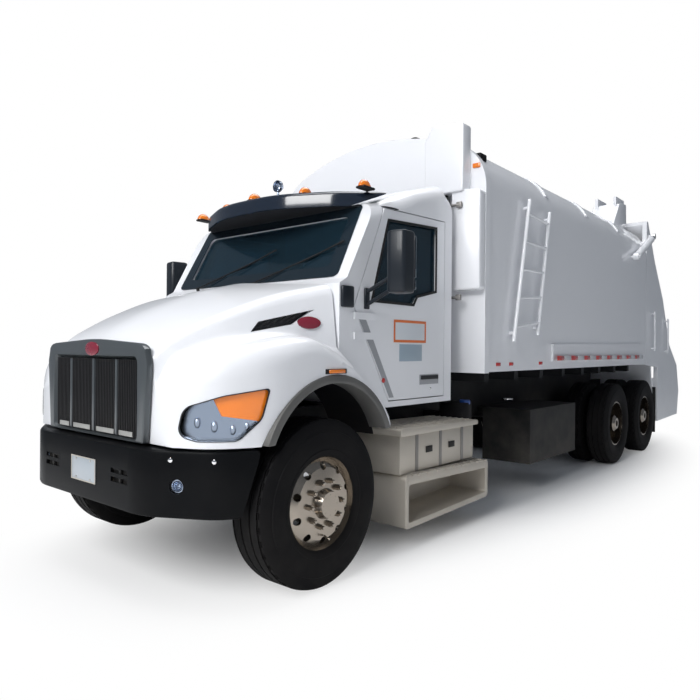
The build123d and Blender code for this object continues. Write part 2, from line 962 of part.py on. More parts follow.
def tailgate():
    inner = body_half - gate_wall
    floor_top = body_low + body_wall + 20.0
    with BuildPart() as gate:
        for side in (1, -1):
            side_plate(gate_outline, (side * inner, side * body_half))
            bar(
                (lift_eye_at, side * (body_half - 10), lift_eye_z),
                (lift_eye_at, side * (lift_y - 30), lift_eye_z),
                lift_pin_radius + 14,
            )
        # Cover over the packer, from the seam down to the loading mouth.
        side_plate(
            [(7960, 3420), (8030, 3420), (8440, 2860), (8940, 2320), (8900, 2290), (8400, 2825), (7960, 3370)],
            (-inner, inner),
        )
        # Floor from the body's floor to the hopper.
        knee = hopper_at - hopper_radius
        block((7960, knee), (-inner, inner), (floor_top - 60, floor_top))
        # Hopper bowl with its loading sill.
        with BuildSketch(Plane.XZ.offset(-inner)) as bowl:
            with Locations((behind(hopper_at), hopper_z)):
                Circle(hopper_radius + 45)
                Circle(hopper_radius, mode=Mode.SUBTRACT)
            with Locations((behind(hopper_at), hopper_z + 500)):
                Rectangle(2000, 1000, mode=Mode.SUBTRACT)
            with Locations((behind(hopper_at + 1000), hopper_z - 240 + 500)):
                Rectangle(600, 1000, mode=Mode.SUBTRACT)
        extrude(bowl.sketch, amount=2 * inner, dir=(0, -1, 0))
        block((knee - 45, knee), (-inner, inner), (hopper_z - 5, floor_top))
        for side in (1, -1):
            side_plate(
                [(7960, 3560), (7960, 3200), (8300, 3050), (8000, 3640), (7880, 3660), (7860, 3560)],
                (side * 700, side * 800),
            )
            bar(
                (gate_pivot_at, side * 690, gate_pivot_z),
                (gate_pivot_at, side * 810, gate_pivot_z),
                31.0,
                mode=Mode.SUBTRACT,
            )
    save(gate, "tailgate_shell")


def packer():
    inner = body_half - gate_wall - packer_gap
    slope = radians(packer_slope)
    down = (cos(slope), -sin(slope))
    out = (sin(slope), cos(slope))
    pivot = (hopper_at - packer_travel * down[0], hopper_z - packer_travel * down[1])
    half = carriage_depth / 2

    def on_track(along, across):
        return (
            pivot[0] + along * down[0] + across * out[0],
            pivot[1] + along * down[1] + across * out[1],
        )

    with BuildPart() as carriage:
        side_plate(
            [
                on_track(-carriage_length, -half),
                on_track(-carriage_length, half),
                on_track(-120, half),
                on_track(-120, -half),
            ],
            (-inner, inner),
        )
        for place in (-900.0, -300.0, 300.0, 900.0):
            side_plate(
                [on_track(-200, -half), on_track(-200, half), on_track(0, 60), on_track(30, 0), on_track(0, -60)],
                (place - 30, place + 30),
            )
        bar((pivot[0], -inner, pivot[1]), (pivot[0], inner, pivot[1]), 35.0)
    save(carriage, "packer_carriage")
    with BuildPart() as blade:
        for low, high in ((-1100, -950), (-850, -350), (-250, 250), (350, 850), (950, 1100)):
            bar((pivot[0], low, pivot[1]), (pivot[0], high, pivot[1]), 75.0)
        bar((pivot[0], -1150, pivot[1]), (pivot[0], 1150, pivot[1]), 36.0, mode=Mode.SUBTRACT)
        side_plate(
            [
                (pivot[0] - 40, pivot[1] - 90),
                (pivot[0] + 60, pivot[1] - 90),
                (pivot[0] + 40, pivot[1] - packer_reach + 60),
                (pivot[0] + 10, pivot[1] - packer_reach),
                (pivot[0] - 20, pivot[1] - packer_reach),
            ],
            (-1100, 1100),
        )
        for low, high in ((-1100, -950), (-850, -350), (-250, 250), (350, 850), (950, 1100)):
            block((pivot[0] - 30, pivot[0] + 30), (low, high), (pivot[1] - 100, pivot[1] - 60))
    save(blade, "packer_blade")


def lift_cylinders():
    # Barrels pinned to the body's sides, rods that reach pins on the tailgate.
    barrel_share = 0.84
    foot = (lift_foot_at, lift_foot_z)
    eye = (lift_eye_at, lift_eye_z)
    span = sqrt((eye[0] - foot[0]) ** 2 + (eye[1] - foot[1]) ** 2)
    way = ((eye[0] - foot[0]) / span, (eye[1] - foot[1]) / span)

    def along(side, reach):
        return (foot[0] + reach * way[0], side * lift_y, foot[1] + reach * way[1])

    mouth = barrel_share * span
    with BuildPart() as barrels:
        for side in (1, -1):
            bar(along(side, 40.0), along(side, mouth), lift_barrel_radius)
            bar(
                (foot[0], side * (lift_y - 35), foot[1]),
                (foot[0], side * (lift_y + 35), foot[1]),
                lift_barrel_radius,
            )
            bar(
                along(side, 120.0),
                along(side, mouth + 10),
                lift_rod_radius + bearing_gap,
                mode=Mode.SUBTRACT,
            )
            bar(
                (foot[0], side * (lift_y - 40), foot[1]),
                (foot[0], side * (lift_y + 40), foot[1]),
                lift_pin_radius + bearing_gap,
                mode=Mode.SUBTRACT,
            )
    save(barrels, "lift_barrels")
    with BuildPart() as rods:
        for side in (1, -1):
            bar(along(side, 150.0), along(side, span - 32.0), lift_rod_radius)
            bar(
                (eye[0], side * (lift_y - 22), eye[1]),
                (eye[0], side * (lift_y + 22), eye[1]),
                44.0,
            )
            bar(
                (eye[0], side * (lift_y - 30), eye[1]),
                (eye[0], side * (lift_y + 30), eye[1]),
                lift_pin_radius,
                mode=Mode.SUBTRACT,
            )
    save(rods, "lift_rods")


chassis_frame()
front_axle()
front_springs()
front_wheel()
rear_wheels()
steering_knuckle()
tie_rod()
rear_axles()
rear_suspension()
drive_line()
engine()
bumper()
hood()
grille()
headlamps()
cab()
cab_glass()
door()
sun_visor()
cab_inside()
mirrors()
side_boxes()
body()
subframe()
ledge()
ladder()
towers()
ejector()
tailgate()
packer()
lift_cylinders()
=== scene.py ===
import bpy
import json
import math
from mathutils import Vector, Matrix


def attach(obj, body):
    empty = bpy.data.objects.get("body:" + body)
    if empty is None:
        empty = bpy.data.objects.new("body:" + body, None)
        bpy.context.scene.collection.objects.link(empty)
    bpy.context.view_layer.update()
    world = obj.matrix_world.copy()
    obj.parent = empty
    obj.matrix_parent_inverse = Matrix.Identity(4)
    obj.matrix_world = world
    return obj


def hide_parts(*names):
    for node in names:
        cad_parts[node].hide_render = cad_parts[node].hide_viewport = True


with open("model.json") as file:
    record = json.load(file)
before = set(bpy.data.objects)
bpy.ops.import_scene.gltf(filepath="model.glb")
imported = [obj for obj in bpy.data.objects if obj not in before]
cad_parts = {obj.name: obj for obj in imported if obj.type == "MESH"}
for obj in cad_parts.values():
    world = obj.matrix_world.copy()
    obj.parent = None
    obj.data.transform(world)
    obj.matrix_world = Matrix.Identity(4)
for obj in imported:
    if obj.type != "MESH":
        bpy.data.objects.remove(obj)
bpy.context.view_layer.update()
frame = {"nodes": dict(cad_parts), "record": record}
cadNodes = frame["nodes"]
print("frame loaded:", len(cadNodes), "nodes")


cameraView = {
    "place": (6.9172, 3.7605, 1.4960),
    "yaw": -2.4438486,
    "pitch": -0.0025747,
    "roll": 0.0089738,
    "lens": 31.838,
    "sensor": 36.0,
}


def makeCamera(view):
    forward = Vector((math.cos(view["pitch"]) * math.cos(view["yaw"]),
                      math.cos(view["pitch"]) * math.sin(view["yaw"]),
                      math.sin(view["pitch"])))
    level = Vector((math.sin(view["yaw"]), -math.cos(view["yaw"]), 0.0))
    upright = level.cross(forward)
    right = level * math.cos(view["roll"]) + upright * math.sin(view["roll"])
    up = right.cross(forward)
    data = bpy.data.cameras.new("truckCamera")
    data.lens = view["lens"]
    data.sensor_width = view["sensor"]
    data.clip_end = 200.0
    camera = bpy.data.objects.new("truckCamera", data)
    bpy.context.scene.collection.objects.link(camera)
    turn = Matrix((right, up, -forward)).transposed().to_4x4()
    camera.matrix_world = Matrix.Translation(view["place"]) @ turn
    bpy.context.scene.camera = camera


makeCamera(cameraView)
bpy.context.scene.view_settings.view_transform = "Standard"


# Shader helpers
def startMaterial(name):
    material = bpy.data.materials.new(name)
    material.use_nodes = True
    tree = material.node_tree
    return material, tree, tree.nodes["Principled BSDF"]


def feed(tree, node, inputs):
    # Each input is linked to a socket or set to a value.
    for key, value in inputs.items():
        if isinstance(value, bpy.types.NodeSocket):
            tree.links.new(value, node.inputs[key])
        else:
            node.inputs[key].default_value = value


def addNode(tree, kind, inputs=None, **settings):
    node = tree.nodes.new(kind)
    for key, value in settings.items():
        setattr(node, key, value)
    feed(tree, node, inputs or {})
    return node


def mathNode(tree, operation, *values, clamp=False):
    node = addNode(tree, "ShaderNodeMath", dict(enumerate(values)), operation=operation,
                   use_clamp=clamp)
    return node.outputs[0]


def newGroup(name, sockets):
    group = bpy.data.node_groups.new(name, "ShaderNodeTree")
    for socketName, way, kind, start in sockets:
        socket = group.interface.new_socket(name=socketName, in_out=way, socket_type=kind)
        if start is not None:
            socket.default_value = start
    return group, group.nodes.new("NodeGroupInput"), group.nodes.new("NodeGroupOutput")


def makeRoadFilmGroup():
    # Dust that settles low on the truck and in patches, with a slow change of shade.
    group, source, result = newGroup("roadFilm", (
        ("Paint", "INPUT", "NodeSocketColor", (0.8, 0.8, 0.8, 1.0)),
        ("Dust", "INPUT", "NodeSocketColor", (0.28, 0.25, 0.21, 1.0)),
        ("Amount", "INPUT", "NodeSocketFloat", 0.3),
        ("Height", "INPUT", "NodeSocketFloat", 1.2),
        ("Gloss", "INPUT", "NodeSocketFloat", 0.25),
        ("Color", "OUTPUT", "NodeSocketColor", None),
        ("Roughness", "OUTPUT", "NodeSocketFloat", None),
        ("Mask", "OUTPUT", "NodeSocketFloat", None),
    ))
    given = source.outputs
    place = addNode(group, "ShaderNodeTexCoord").outputs["Object"]
    split = addNode(group, "ShaderNodeSeparateXYZ", {0: place})
    low = mathNode(group, "DIVIDE", split.outputs["Z"], given["Height"], clamp=True)
    fade = mathNode(group, "SUBTRACT", 1.0, low, clamp=True)
    noise = addNode(group, "ShaderNodeTexNoise",
                    {"Vector": place, "Scale": 3.5, "Detail": 6.0, "Roughness": 0.62})
    patch = addNode(group, "ShaderNodeMapRange", {
        "Value": noise.outputs["Fac"], "From Min": 0.35, "From Max": 0.68, "To Min": 0.25})
    base = mathNode(group, "ADD", fade, 0.10)
    spread = mathNode(group, "MULTIPLY", base, patch.outputs["Result"])
    mask = mathNode(group, "MULTIPLY", spread, given["Amount"], clamp=True)
    mix = addNode(group, "ShaderNodeMix", {"Factor": mask, 6: given["Paint"], 7: given["Dust"]},
                  data_type="RGBA")
    rough = mathNode(group, "MULTIPLY_ADD", mask, 0.6, given["Gloss"], clamp=True)
    feed(group, result, {"Color": mix.outputs[2], "Roughness": rough, "Mask": mask})
    return group


def makeGrainGroup():
    # A fine bump that runs over the whole surface, from paint ripple to cast grain.
    group, source, result = newGroup("surfaceGrain", (
        ("Scale", "INPUT", "NodeSocketFloat", 200.0),
        ("Strength", "INPUT", "NodeSocketFloat", 0.1),
        ("Depth", "INPUT", "NodeSocketFloat", 0.001),
        ("Normal", "OUTPUT", "NodeSocketVector", None),
        ("Fac", "OUTPUT", "NodeSocketFloat", None),
    ))
    given = source.outputs
    place = addNode(group, "ShaderNodeTexCoord").outputs["Object"]
    noise = addNode(group, "ShaderNodeTexNoise",
                    {"Vector": place, "Scale": given["Scale"], "Detail": 3.0}).outputs["Fac"]
    bump = addNode(group, "ShaderNodeBump",
                   {"Height": noise, "Strength": given["Strength"], "Distance": given["Depth"]})
    feed(group, result, {"Normal": bump.outputs["Normal"], "Fac": noise})
    return group


roadFilmGroup = makeRoadFilmGroup()
grainGroup = makeGrainGroup()


def placeGroup(tree, group, **values):
    return addNode(tree, "ShaderNodeGroup", values, node_tree=group)


roadDust = (0.30, 0.27, 0.23, 1.0)


def coatedMaterial(name, finish):
    # Paint, plastic, rubber or bare metal under a film of road dust.
    material, tree, shader = startMaterial(name)
    film = placeGroup(tree, roadFilmGroup, Paint=(*finish["color"], 1.0), Dust=roadDust,
                      Amount=finish["dirt"], Height=finish["dirtHeight"], Gloss=finish["rough"])
    grain = placeGroup(tree, grainGroup, Scale=finish["grain"], Strength=finish["bump"],
                       Depth=finish["bumpDepth"])
    feed(tree, shader, {"Base Color": film.outputs["Color"], "Roughness": film.outputs["Roughness"],
                        "Normal": grain.outputs["Normal"], "Metallic": finish["metal"],
                        "Coat Weight": finish["coat"], "Coat Roughness": 0.06,
                        "Specular IOR Level": finish["spec"]})
    return material


plainLook = {"metal": 0.0, "coat": 0.0, "dirt": 0.3, "dirtHeight": 1.2, "grain": 120.0,
             "bump": 0.08, "bumpDepth": 0.001, "spec": 0.5}


def look(color, rough, **changes):
    return {**plainLook, "color": color, "rough": rough, **changes}


finishes = {
    "white_paint": look((0.80, 0.81, 0.84), 0.32, coat=0.6, dirt=0.10, dirtHeight=1.8, grain=60.0,
                        bump=0.02),
    "frame_black": look((0.007, 0.008, 0.010), 0.48, spec=0.10, dirt=0.25, grain=90.0, bump=0.15),
    "bumper_black": look((0.0045, 0.005, 0.006), 0.34, spec=0.05, coat=0.01, dirt=0.02, grain=140.0,
                         bump=0.04),
    "engine_grey": look((0.09, 0.09, 0.10), 0.60, dirt=0.30, grain=220.0, bump=0.35),
    "visor_tint": look((0.008, 0.014, 0.026), 0.14, coat=0.5, dirt=0.02),
    "cab_trim": look((0.020, 0.021, 0.024), 0.62, spec=0.3, dirt=0.05, grain=600.0, bump=0.30),
    "seat_fabric": look((0.06, 0.06, 0.07), 0.85, dirt=0.05, grain=900.0, bump=0.50),
    "bright_aluminium": look((0.50, 0.46, 0.40), 0.38, metal=0.35, dirt=0.20, grain=160.0,
                             bump=0.06),
    "tank_black": look((0.006, 0.006, 0.008), 0.45, spec=0.08, dirt=0.15, grain=260.0, bump=0.12),
    "grille_grey": look((0.075, 0.085, 0.092), 0.30, metal=0.3, coat=0.4, dirt=0.08),
    "grille_chrome": look((0.024, 0.024, 0.026), 0.48, spec=0.3, metal=0.2, dirt=0.10),
    "mirror_black": look((0.012, 0.016, 0.022), 0.34, spec=0.3, coat=0.1, dirt=0.05, grain=400.0,
                         bump=0.10),
    "worn_steel": look((0.28, 0.27, 0.26), 0.48, metal=0.8, dirt=0.35, grain=40.0, bump=0.25),
    "rod_chrome": look((0.75, 0.75, 0.76), 0.10, metal=1.0, dirt=0.04),
    "tyre_rubber": look((0.006, 0.006, 0.007), 0.62, spec=0.06, dirt=0.04, grain=160.0, bump=0.15),
    "rim_aluminium": look((0.34, 0.30, 0.255), 0.20, metal=1.0, dirt=0.12, grain=100.0, bump=0.03),
    # The arch lips are black plastic; this grey colour is a painted reflection.
    "lip_painted_sheen": look((0.105, 0.104, 0.100), 0.34, spec=0.4, dirt=0.10, grain=120.0, bump=0.06),
    "glass_band": look((0.010, 0.018, 0.026), 0.08, spec=0.3, coat=0.15, dirt=0.02),
    "pale_steel": look((0.42, 0.42, 0.40), 0.40, metal=0.4, dirt=0.2),
    "oval_enamel": look((0.20, 0.012, 0.030), 0.22, coat=0.8, dirt=0.03, grain=300.0, bump=0.05),
    "lamp_reflector": look((0.34, 0.39, 0.48), 0.12, metal=1.0, dirt=0.03, grain=260.0, bump=0.35,
                           bumpDepth=0.004),
    "amber_lens": look((0.78, 0.19, 0.006), 0.16, coat=0.8, dirt=0.02, grain=420.0, bump=0.30,
                       bumpDepth=0.002),
    "red_lens": look((0.48, 0.018, 0.015), 0.18, coat=0.7, dirt=0.05, grain=420.0, bump=0.30,
                     bumpDepth=0.002),
    "tape_silver": look((0.62, 0.63, 0.65), 0.25, metal=0.3, coat=0.5, dirt=0.10, grain=500.0,
                        bump=0.3),
    "plate_sheet": look((0.36, 0.40, 0.44), 0.30, coat=0.4, dirt=0.08, grain=300.0, bump=0.05),
    "placard_white": look((0.62, 0.66, 0.70), 0.35, coat=0.2, dirt=0.05),
    "placard_orange": look((0.70, 0.17, 0.04), 0.35, coat=0.2, dirt=0.05),
    "patch_grey": look((0.30, 0.38, 0.45), 0.38, coat=0.2, dirt=0.06),
    # Mid grey that paints shade: the seam along the door's front edge and the lever's recess.
    "painted_shade_grey": look((0.30, 0.31, 0.33), 0.40, coat=0.1, dirt=0.08),
    "rubber_trim": look((0.009, 0.009, 0.010), 0.55, spec=0.25, dirt=0.12, grain=300.0, bump=0.20),
    "mirror_glass": look((0.70, 0.74, 0.78), 0.04, metal=1.0, dirt=0.01),
    "cap_blue": look((0.020, 0.075, 0.30), 0.35, coat=0.3, dirt=0.05),
}
materials = {name: coatedMaterial(name, finish) for name, finish in finishes.items()}


def makeTintedGlass(name, tint, clear, ior, coat):
    material, tree, shader = startMaterial(name)
    film = placeGroup(tree, roadFilmGroup, Paint=(*tint, 1.0), Dust=(0.35, 0.36, 0.36, 1.0),
                      Amount=0.03, Height=3.0, Gloss=0.02)
    feed(tree, shader, {"Base Color": film.outputs["Color"], "Roughness": film.outputs["Roughness"],
                        "Transmission Weight": clear, "IOR": ior, "Coat Weight": coat,
                        "Coat Roughness": 0.02})
    return material


materials["tinted_glass"] = makeTintedGlass("tinted_glass", (0.035, 0.085, 0.125), 0.80, 1.22, 0.25)
materials["lamp_clear"] = makeTintedGlass("lamp_clear", (0.93, 0.95, 0.97), 1.0, 1.04, 0.10)


wireShades = ((0.62, (0.006, 0.006, 0.007, 1.0)), (0.82, (0.035, 0.036, 0.038, 1.0)))


def makeWireMesh():
    # Dark screen with fine crossed wires.
    material, tree, shader = startMaterial("wire_mesh")
    place = addNode(tree, "ShaderNodeTexCoord").outputs["Object"]
    lines = [addNode(tree, "ShaderNodeTexWave", {"Scale": 28.0, "Vector": place},
                     wave_type="BANDS", bands_direction=direction).outputs["Fac"]
             for direction in ("Y", "Z")]
    top = mathNode(tree, "MAXIMUM", *lines)
    shade = addNode(tree, "ShaderNodeValToRGB", {"Fac": top})
    for element, (position, color) in zip(shade.color_ramp.elements, wireShades):
        element.position = position
        element.color = color
    bump = addNode(tree, "ShaderNodeBump", {"Strength": 0.6, "Distance": 0.002, "Height": top})
    feed(tree, shader, {"Base Color": shade.outputs["Color"], "Normal": bump.outputs["Normal"],
                        "Roughness": 0.5})
    return material


materials["wire_mesh"] = makeWireMesh()


for part in frame["record"]["subparts"]:
    cadObject = cadNodes[part["node"]]
    cadObject.data.materials.clear()
    cadObject.data.materials.append(materials[part["material_slot"]])
print("materials:", len(materials))


# Building tools
frontAt = 5.025
edgeSteps = 2
cornerSteps = 6


def spot(s, y, z):
    # A place given as its distance behind the bumper's face, its side and its height.
    return Vector((frontAt - s, y, z))


def objectMode():
    bpy.ops.object.mode_set(mode="OBJECT")


def editMode(choice=None):
    # All of the active piece's mesh is chosen, none of it, or what was chosen before.
    bpy.ops.object.mode_set(mode="EDIT")
    if choice:
        bpy.ops.mesh.select_all(action=choice)


def clearSelection():
    if bpy.context.object and bpy.context.object.mode != "OBJECT":
        objectMode()
    bpy.ops.object.select_all(action="DESELECT")


def pick(piece):
    clearSelection()
    piece.select_set(True)
    bpy.context.view_layer.objects.active = piece


def settle(*pieces):
    # A piece's own placing goes into its mesh.
    bpy.context.view_layer.update()
    for piece in pieces:
        piece.data.transform(piece.matrix_world)
        piece.matrix_world = Matrix.Identity(4)


def applyTo(piece, modifier):
    pick(piece)
    bpy.ops.object.modifier_apply(modifier=modifier.name)


def finishPiece(piece, name, body, slotName, finish=None, smooth=35.0):
    settle(piece)
    piece.name = name
    piece.data.name = name
    piece.data.materials.clear()
    piece.data.materials.append(materials[finish or slotName])
    pick(piece)
    bpy.ops.object.shade_smooth_by_angle(angle=math.radians(smooth))
    clearSelection()
    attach(piece, body)
    return piece


def roundEdges(piece, width, angle=30.0):
    if width <= 0.0:
        return
    bevel = piece.modifiers.new("edges", "BEVEL")
    bevel.width = width
    bevel.segments = edgeSteps
    bevel.limit_method = "ANGLE"
    bevel.angle_limit = math.radians(angle)
    applyTo(piece, bevel)


def outwards(piece):
    pick(piece)
    editMode("SELECT")
    bpy.ops.mesh.remove_doubles(threshold=0.00005)
    bpy.ops.mesh.normals_make_consistent(inside=False)
    objectMode()


def blockPiece(low, high, edge):
    # A box between two corners with rounded edges.
    low, high = Vector(low), Vector(high)
    clearSelection()
    bpy.ops.mesh.primitive_cube_add(size=1.0, location=(low + high) / 2)
    piece = bpy.context.object
    size = high - low
    piece.scale = (abs(size.x), abs(size.y), abs(size.z))
    bpy.ops.object.transform_apply(location=False, rotation=False, scale=True)
    roundEdges(piece, edge)
    return piece


def rodPiece(start, end, radius, edge=0.0, sides=20):
    start, end = Vector(start), Vector(end)
    way = end - start
    clearSelection()
    bpy.ops.mesh.primitive_cylinder_add(vertices=sides, radius=radius, depth=way.length,
                                        location=(start + end) / 2,
                                        rotation=way.to_track_quat("Z", "Y").to_euler())
    piece = bpy.context.object
    roundEdges(piece, edge, angle=50.0)
    return piece


def outlinePiece(outline, fill="NGON"):
    # A closed outline with its corners at the places given, left selected in edit mode.
    clearSelection()
    bpy.ops.mesh.primitive_circle_add(vertices=len(outline), fill_type=fill)
    piece = bpy.context.object
    for corner, place in zip(piece.data.vertices, outline):
        corner.co = Vector(place)
    editMode("SELECT")
    return piece


def platePiece(outline, push, edge=0.0):
    # A flat sheet cut to an outline and given its thickness by an extrusion.
    piece = outlinePiece(outline)
    bpy.ops.mesh.extrude_region_move(TRANSFORM_OT_translate={"value": Vector(push)})
    outwards(piece)
    roundEdges(piece, edge)
    return piece


def ringPiece(outline, rim, push):
    # A frame that follows an outline, as wide as the rim.
    piece = outlinePiece(outline)
    bpy.ops.mesh.inset(thickness=rim)
    bpy.ops.mesh.delete(type="FACE")
    bpy.ops.mesh.select_all(action="SELECT")
    bpy.ops.mesh.extrude_region_move(TRANSFORM_OT_translate={"value": Vector(push)})
    outwards(piece)
    return piece


def turnedPiece(profile, steps):
    # A profile of distances along the axle and radii, spun round the Y axis.
    piece = outlinePiece([(0.0, along, radius) for along, radius in profile], "NOTHING")
    bpy.ops.mesh.spin(steps=steps, angle=2.0 * math.pi, center=(0.0, 0.0, 0.0),
                      axis=(0.0, 1.0, 0.0))
    outwards(piece)
    return piece


def standPiece(profile, place, steps):
    # A turned piece set upright with its foot at the place.
    piece = turnedPiece(profile, steps)
    piece.data.transform(Matrix.Translation(place) @ Matrix.Rotation(math.pi / 2, 4, "X"))
    return piece


def blockOn(place, low, high, edge):
    # A box whose corners are given from a place on a surface.
    return blockPiece(place + Vector(low), place + Vector(high), edge)


def spotBlock(corners, edge):
    # A box between two places given as for spot.
    return blockPiece(*[spot(*corner) for corner in corners], edge)


def discPiece(sides, radius, turn, size):
    # A round disc turned and then stretched to its size.
    clearSelection()
    bpy.ops.mesh.primitive_cylinder_add(vertices=sides, radius=radius, depth=1.0, rotation=turn)
    disc = bpy.context.object
    bpy.ops.object.transform_apply(location=False, rotation=True, scale=True)
    disc.data.transform(Matrix.Diagonal(size))
    return disc


def ballPiece(place, rings, radius, scale):
    clearSelection()
    bpy.ops.mesh.primitive_uv_sphere_add(segments=20, ring_count=rings, radius=radius,
                                         location=place)
    ball = bpy.context.object
    ball.scale = scale
    bpy.ops.object.transform_apply(location=False, rotation=False, scale=True)
    return ball


def dropSelection():
    # Nothing stays chosen in the active piece's mesh.
    editMode("DESELECT")
    objectMode()


def sliceActive(place, facing):
    # The active piece loses what the plane faces, and the cut is closed.
    editMode("SELECT")
    bpy.ops.mesh.bisect(plane_co=place, plane_no=facing, use_fill=True, clear_outer=True)
    objectMode()


def copyPiece(piece, shift=None):
    double = piece.copy()
    double.data = piece.data.copy()
    bpy.context.scene.collection.objects.link(double)
    if shift is not None:
        double.data.transform(shift)
        if shift.determinant() < 0:
            double.data.flip_normals()
    return double


def joinPieces(pieces):
    settle(*pieces)
    clearSelection()
    for piece in pieces:
        piece.select_set(True)
    bpy.context.view_layer.objects.active = pieces[0]
    if len(pieces) > 1:
        bpy.ops.object.join()
    return bpy.context.object


otherSide = Matrix.Scale(-1.0, 4, (0.0, 1.0, 0.0))


def bothSides(piece):
    settle(piece)
    return joinPieces([piece, copyPiece(piece, otherSide)])


def surfaceSpot(node, start, way):
    # Where a line from the start meets a node's surface.
    carrier = formPieces.get(node, cadNodes[node])
    hit, place, *_ = carrier.ray_cast(Vector(start), Vector(way).normalized())
    return place if hit else Vector(start)


# Form building
formPieces = {}


def roundCorners(points, radii, close=True):
    # A flat outline with its corners turned into arcs.
    outline = []
    for index, point in enumerate(points):
        here = Vector(point)
        radius = radii if isinstance(radii, float) else radii[index]
        if radius <= 0.0 or (not close and index in (0, len(points) - 1)):
            outline.append(here)
            continue
        back = Vector(points[index - 1]) - here
        ahead = Vector(points[(index + 1) % len(points)]) - here
        half = back.angle(ahead) / 2
        reach = min(radius / math.tan(half), 0.49 * min(back.length, ahead.length))
        way = (back.normalized() + ahead.normalized()).normalized()
        middle = here + way * reach / math.cos(half)
        first = here + back.normalized() * reach - middle
        last = here + ahead.normalized() * reach - middle
        sweep = math.pi - 2.0 * half
        for step in range(cornerSteps + 1):
            share = step / cornerSteps
            outline.append(middle + (first * math.sin((1.0 - share) * sweep)
                                     + last * math.sin(share * sweep)) / math.sin(sweep))
    return outline


def cutPiece(piece, cutter, way="DIFFERENCE"):
    bpy.context.view_layer.update()
    step = piece.modifiers.new("cut", "BOOLEAN")
    step.operation = way
    step.solver = "EXACT"
    step.object = cutter
    applyTo(piece, step)
    bpy.data.objects.remove(cutter, do_unlink=True)
    return piece


def sideForm(outline, sides, radius=0.0, edge=0.0):
    # An outline seen from the side, pushed across the truck between two places.
    corners = roundCorners(outline, radius) if radius else outline
    return platePiece([spot(s, sides[0], z) for s, z in corners], (0.0, sides[1] - sides[0], 0.0),
                      edge)


def planForm(outline, heights, radii, edge=0.0):
    # An outline seen from above, pushed up between two heights.
    corners = roundCorners(outline, radii)
    return platePiece([spot(s, y, heights[0]) for s, y in corners],
                      (0.0, 0.0, heights[1] - heights[0]), edge)


def keepForm(piece, name, node, body, slotName, smooth=32.0):
    outwards(piece)
    finishPiece(piece, name, body, slotName, smooth=smooth)
    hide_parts(node)
    formPieces[node] = piece
    bpy.context.view_layer.update()
    return piece


# Hood with its fenders
hoodShape = {
    # Place; fender y and z; valley y and z; shoulder y and z; crown; radii of the three.
    "stations": (
        (0.110, 0.800, 1.240, 0.630, 1.230, 0.605, 1.450, 1.500, 0.100, 0.060, 0.060),
        (0.200, 0.970, 1.400, 0.680, 1.395, 0.630, 1.540, 1.590, 0.150, 0.090, 0.080),
        (0.350, 1.090, 1.500, 0.740, 1.480, 0.670, 1.622, 1.688, 0.190, 0.100, 0.090),
        (0.560, 1.165, 1.555, 0.810, 1.530, 0.735, 1.718, 1.788, 0.210, 0.110, 0.095),
        (0.900, 1.180, 1.575, 0.900, 1.560, 0.830, 1.846, 1.912, 0.200, 0.080, 0.100),
        (1.240, 1.180, 1.360, 1.015, 1.500, 0.965, 1.930, 1.995, 0.090, 0.050, 0.100),
    ),
    "crownRadius": 1.5,
    "base": 0.900,
    "low": 0.935,
    "wall": 0.025,
    "stepsBetween": 6,
    "half": 1.180,
    "archAt": 1.050,
    "archHeight": 0.700,
    "archRadius": 0.630,
    "tail": ((1.090, 1.100), (1.090, 1.420), (1.240, 1.360), (1.400, 1.245), (1.560, 1.110),
             (1.622, 1.020), (1.655, 0.935), (1.500, 0.935)),
    "nose": ((-0.540, 0.900), (-0.580, 1.440), (0.580, 1.440), (0.540, 0.900)),
    "vent": ((0.650, 1.590), (0.720, 1.660), (1.110, 1.752), (0.960, 1.650)),
    "lamp": ((0.665, 1.000), (0.700, 1.160), (0.930, 1.230), (1.186, 1.268), (1.140, 1.090),
             (1.010, 0.972), (0.780, 0.972)),
    "lampCorners": (0.060, 0.090, 0.400, 0.016, 0.110, 0.080, 0.060),
    "tailSides": (0.140, 0.004),
    "ventSides": (0.640, 1.100),
    "lipSides": (0.143, 0.010),
    "lipRadii": (0.6285, 0.575),
    "lipEdge": 0.006,
}
# Sheets inside the arches: sides, radii, turns and lowest place.
linerShape = {
    "roof": ((0.620, 1.036), (0.628, 0.619), (74.0, 180.0), 0.940),
    "wall": ((0.620, 0.630), (0.618, 0.430), (74.0, 180.0), 0.960),
    "rear": ((0.620, 1.020), (0.624, 0.615), (0.0, 70.0), 0.880),
}
# Lens and rim of the headlamps: wall, where it lies in the skin, and share of the opening.
lampFit = {
    "lens": (0.028, -0.57, 0.955),
    "rim": (0.024, -0.75, 0.995),
    "rimHole": 0.957,
}


def stationAt(place):
    rows = hoodShape["stations"]
    index = max(i for i in range(len(rows) - 1) if rows[i][0] <= place + 1e-9)
    low, high = rows[index], rows[index + 1]
    before, after = rows[max(index - 1, 0)], rows[min(index + 2, len(rows) - 1)]
    span = high[0] - low[0]
    t = (place - low[0]) / span
    row = [place]
    for column in range(1, len(low)):
        leave = (high[column] - before[column]) / (high[0] - before[0]) * span
        arrive = (after[column] - low[column]) / (after[0] - low[0]) * span
        row.append((2 * t ** 3 - 3 * t ** 2 + 1) * low[column] + (t ** 3 - 2 * t ** 2 + t) * leave
                   + (3 * t ** 2 - 2 * t ** 3) * high[column] + (t ** 3 - t ** 2) * arrive)
    return row


def hoodRing(row):
    half = [(row[1], hoodShape["base"]), (row[1], row[2]), (row[3], row[4]), (row[5], row[6])]
    points = [(-y, z) for y, z in half] + [(0.0, row[7])] + half[::-1]
    radii = [0.0, row[8], row[9], row[10], hoodShape["crownRadius"], row[10], row[9], row[8], 0.0]
    return [spot(row[0], y, z) for y, z in roundCorners(points, radii, close=False)]


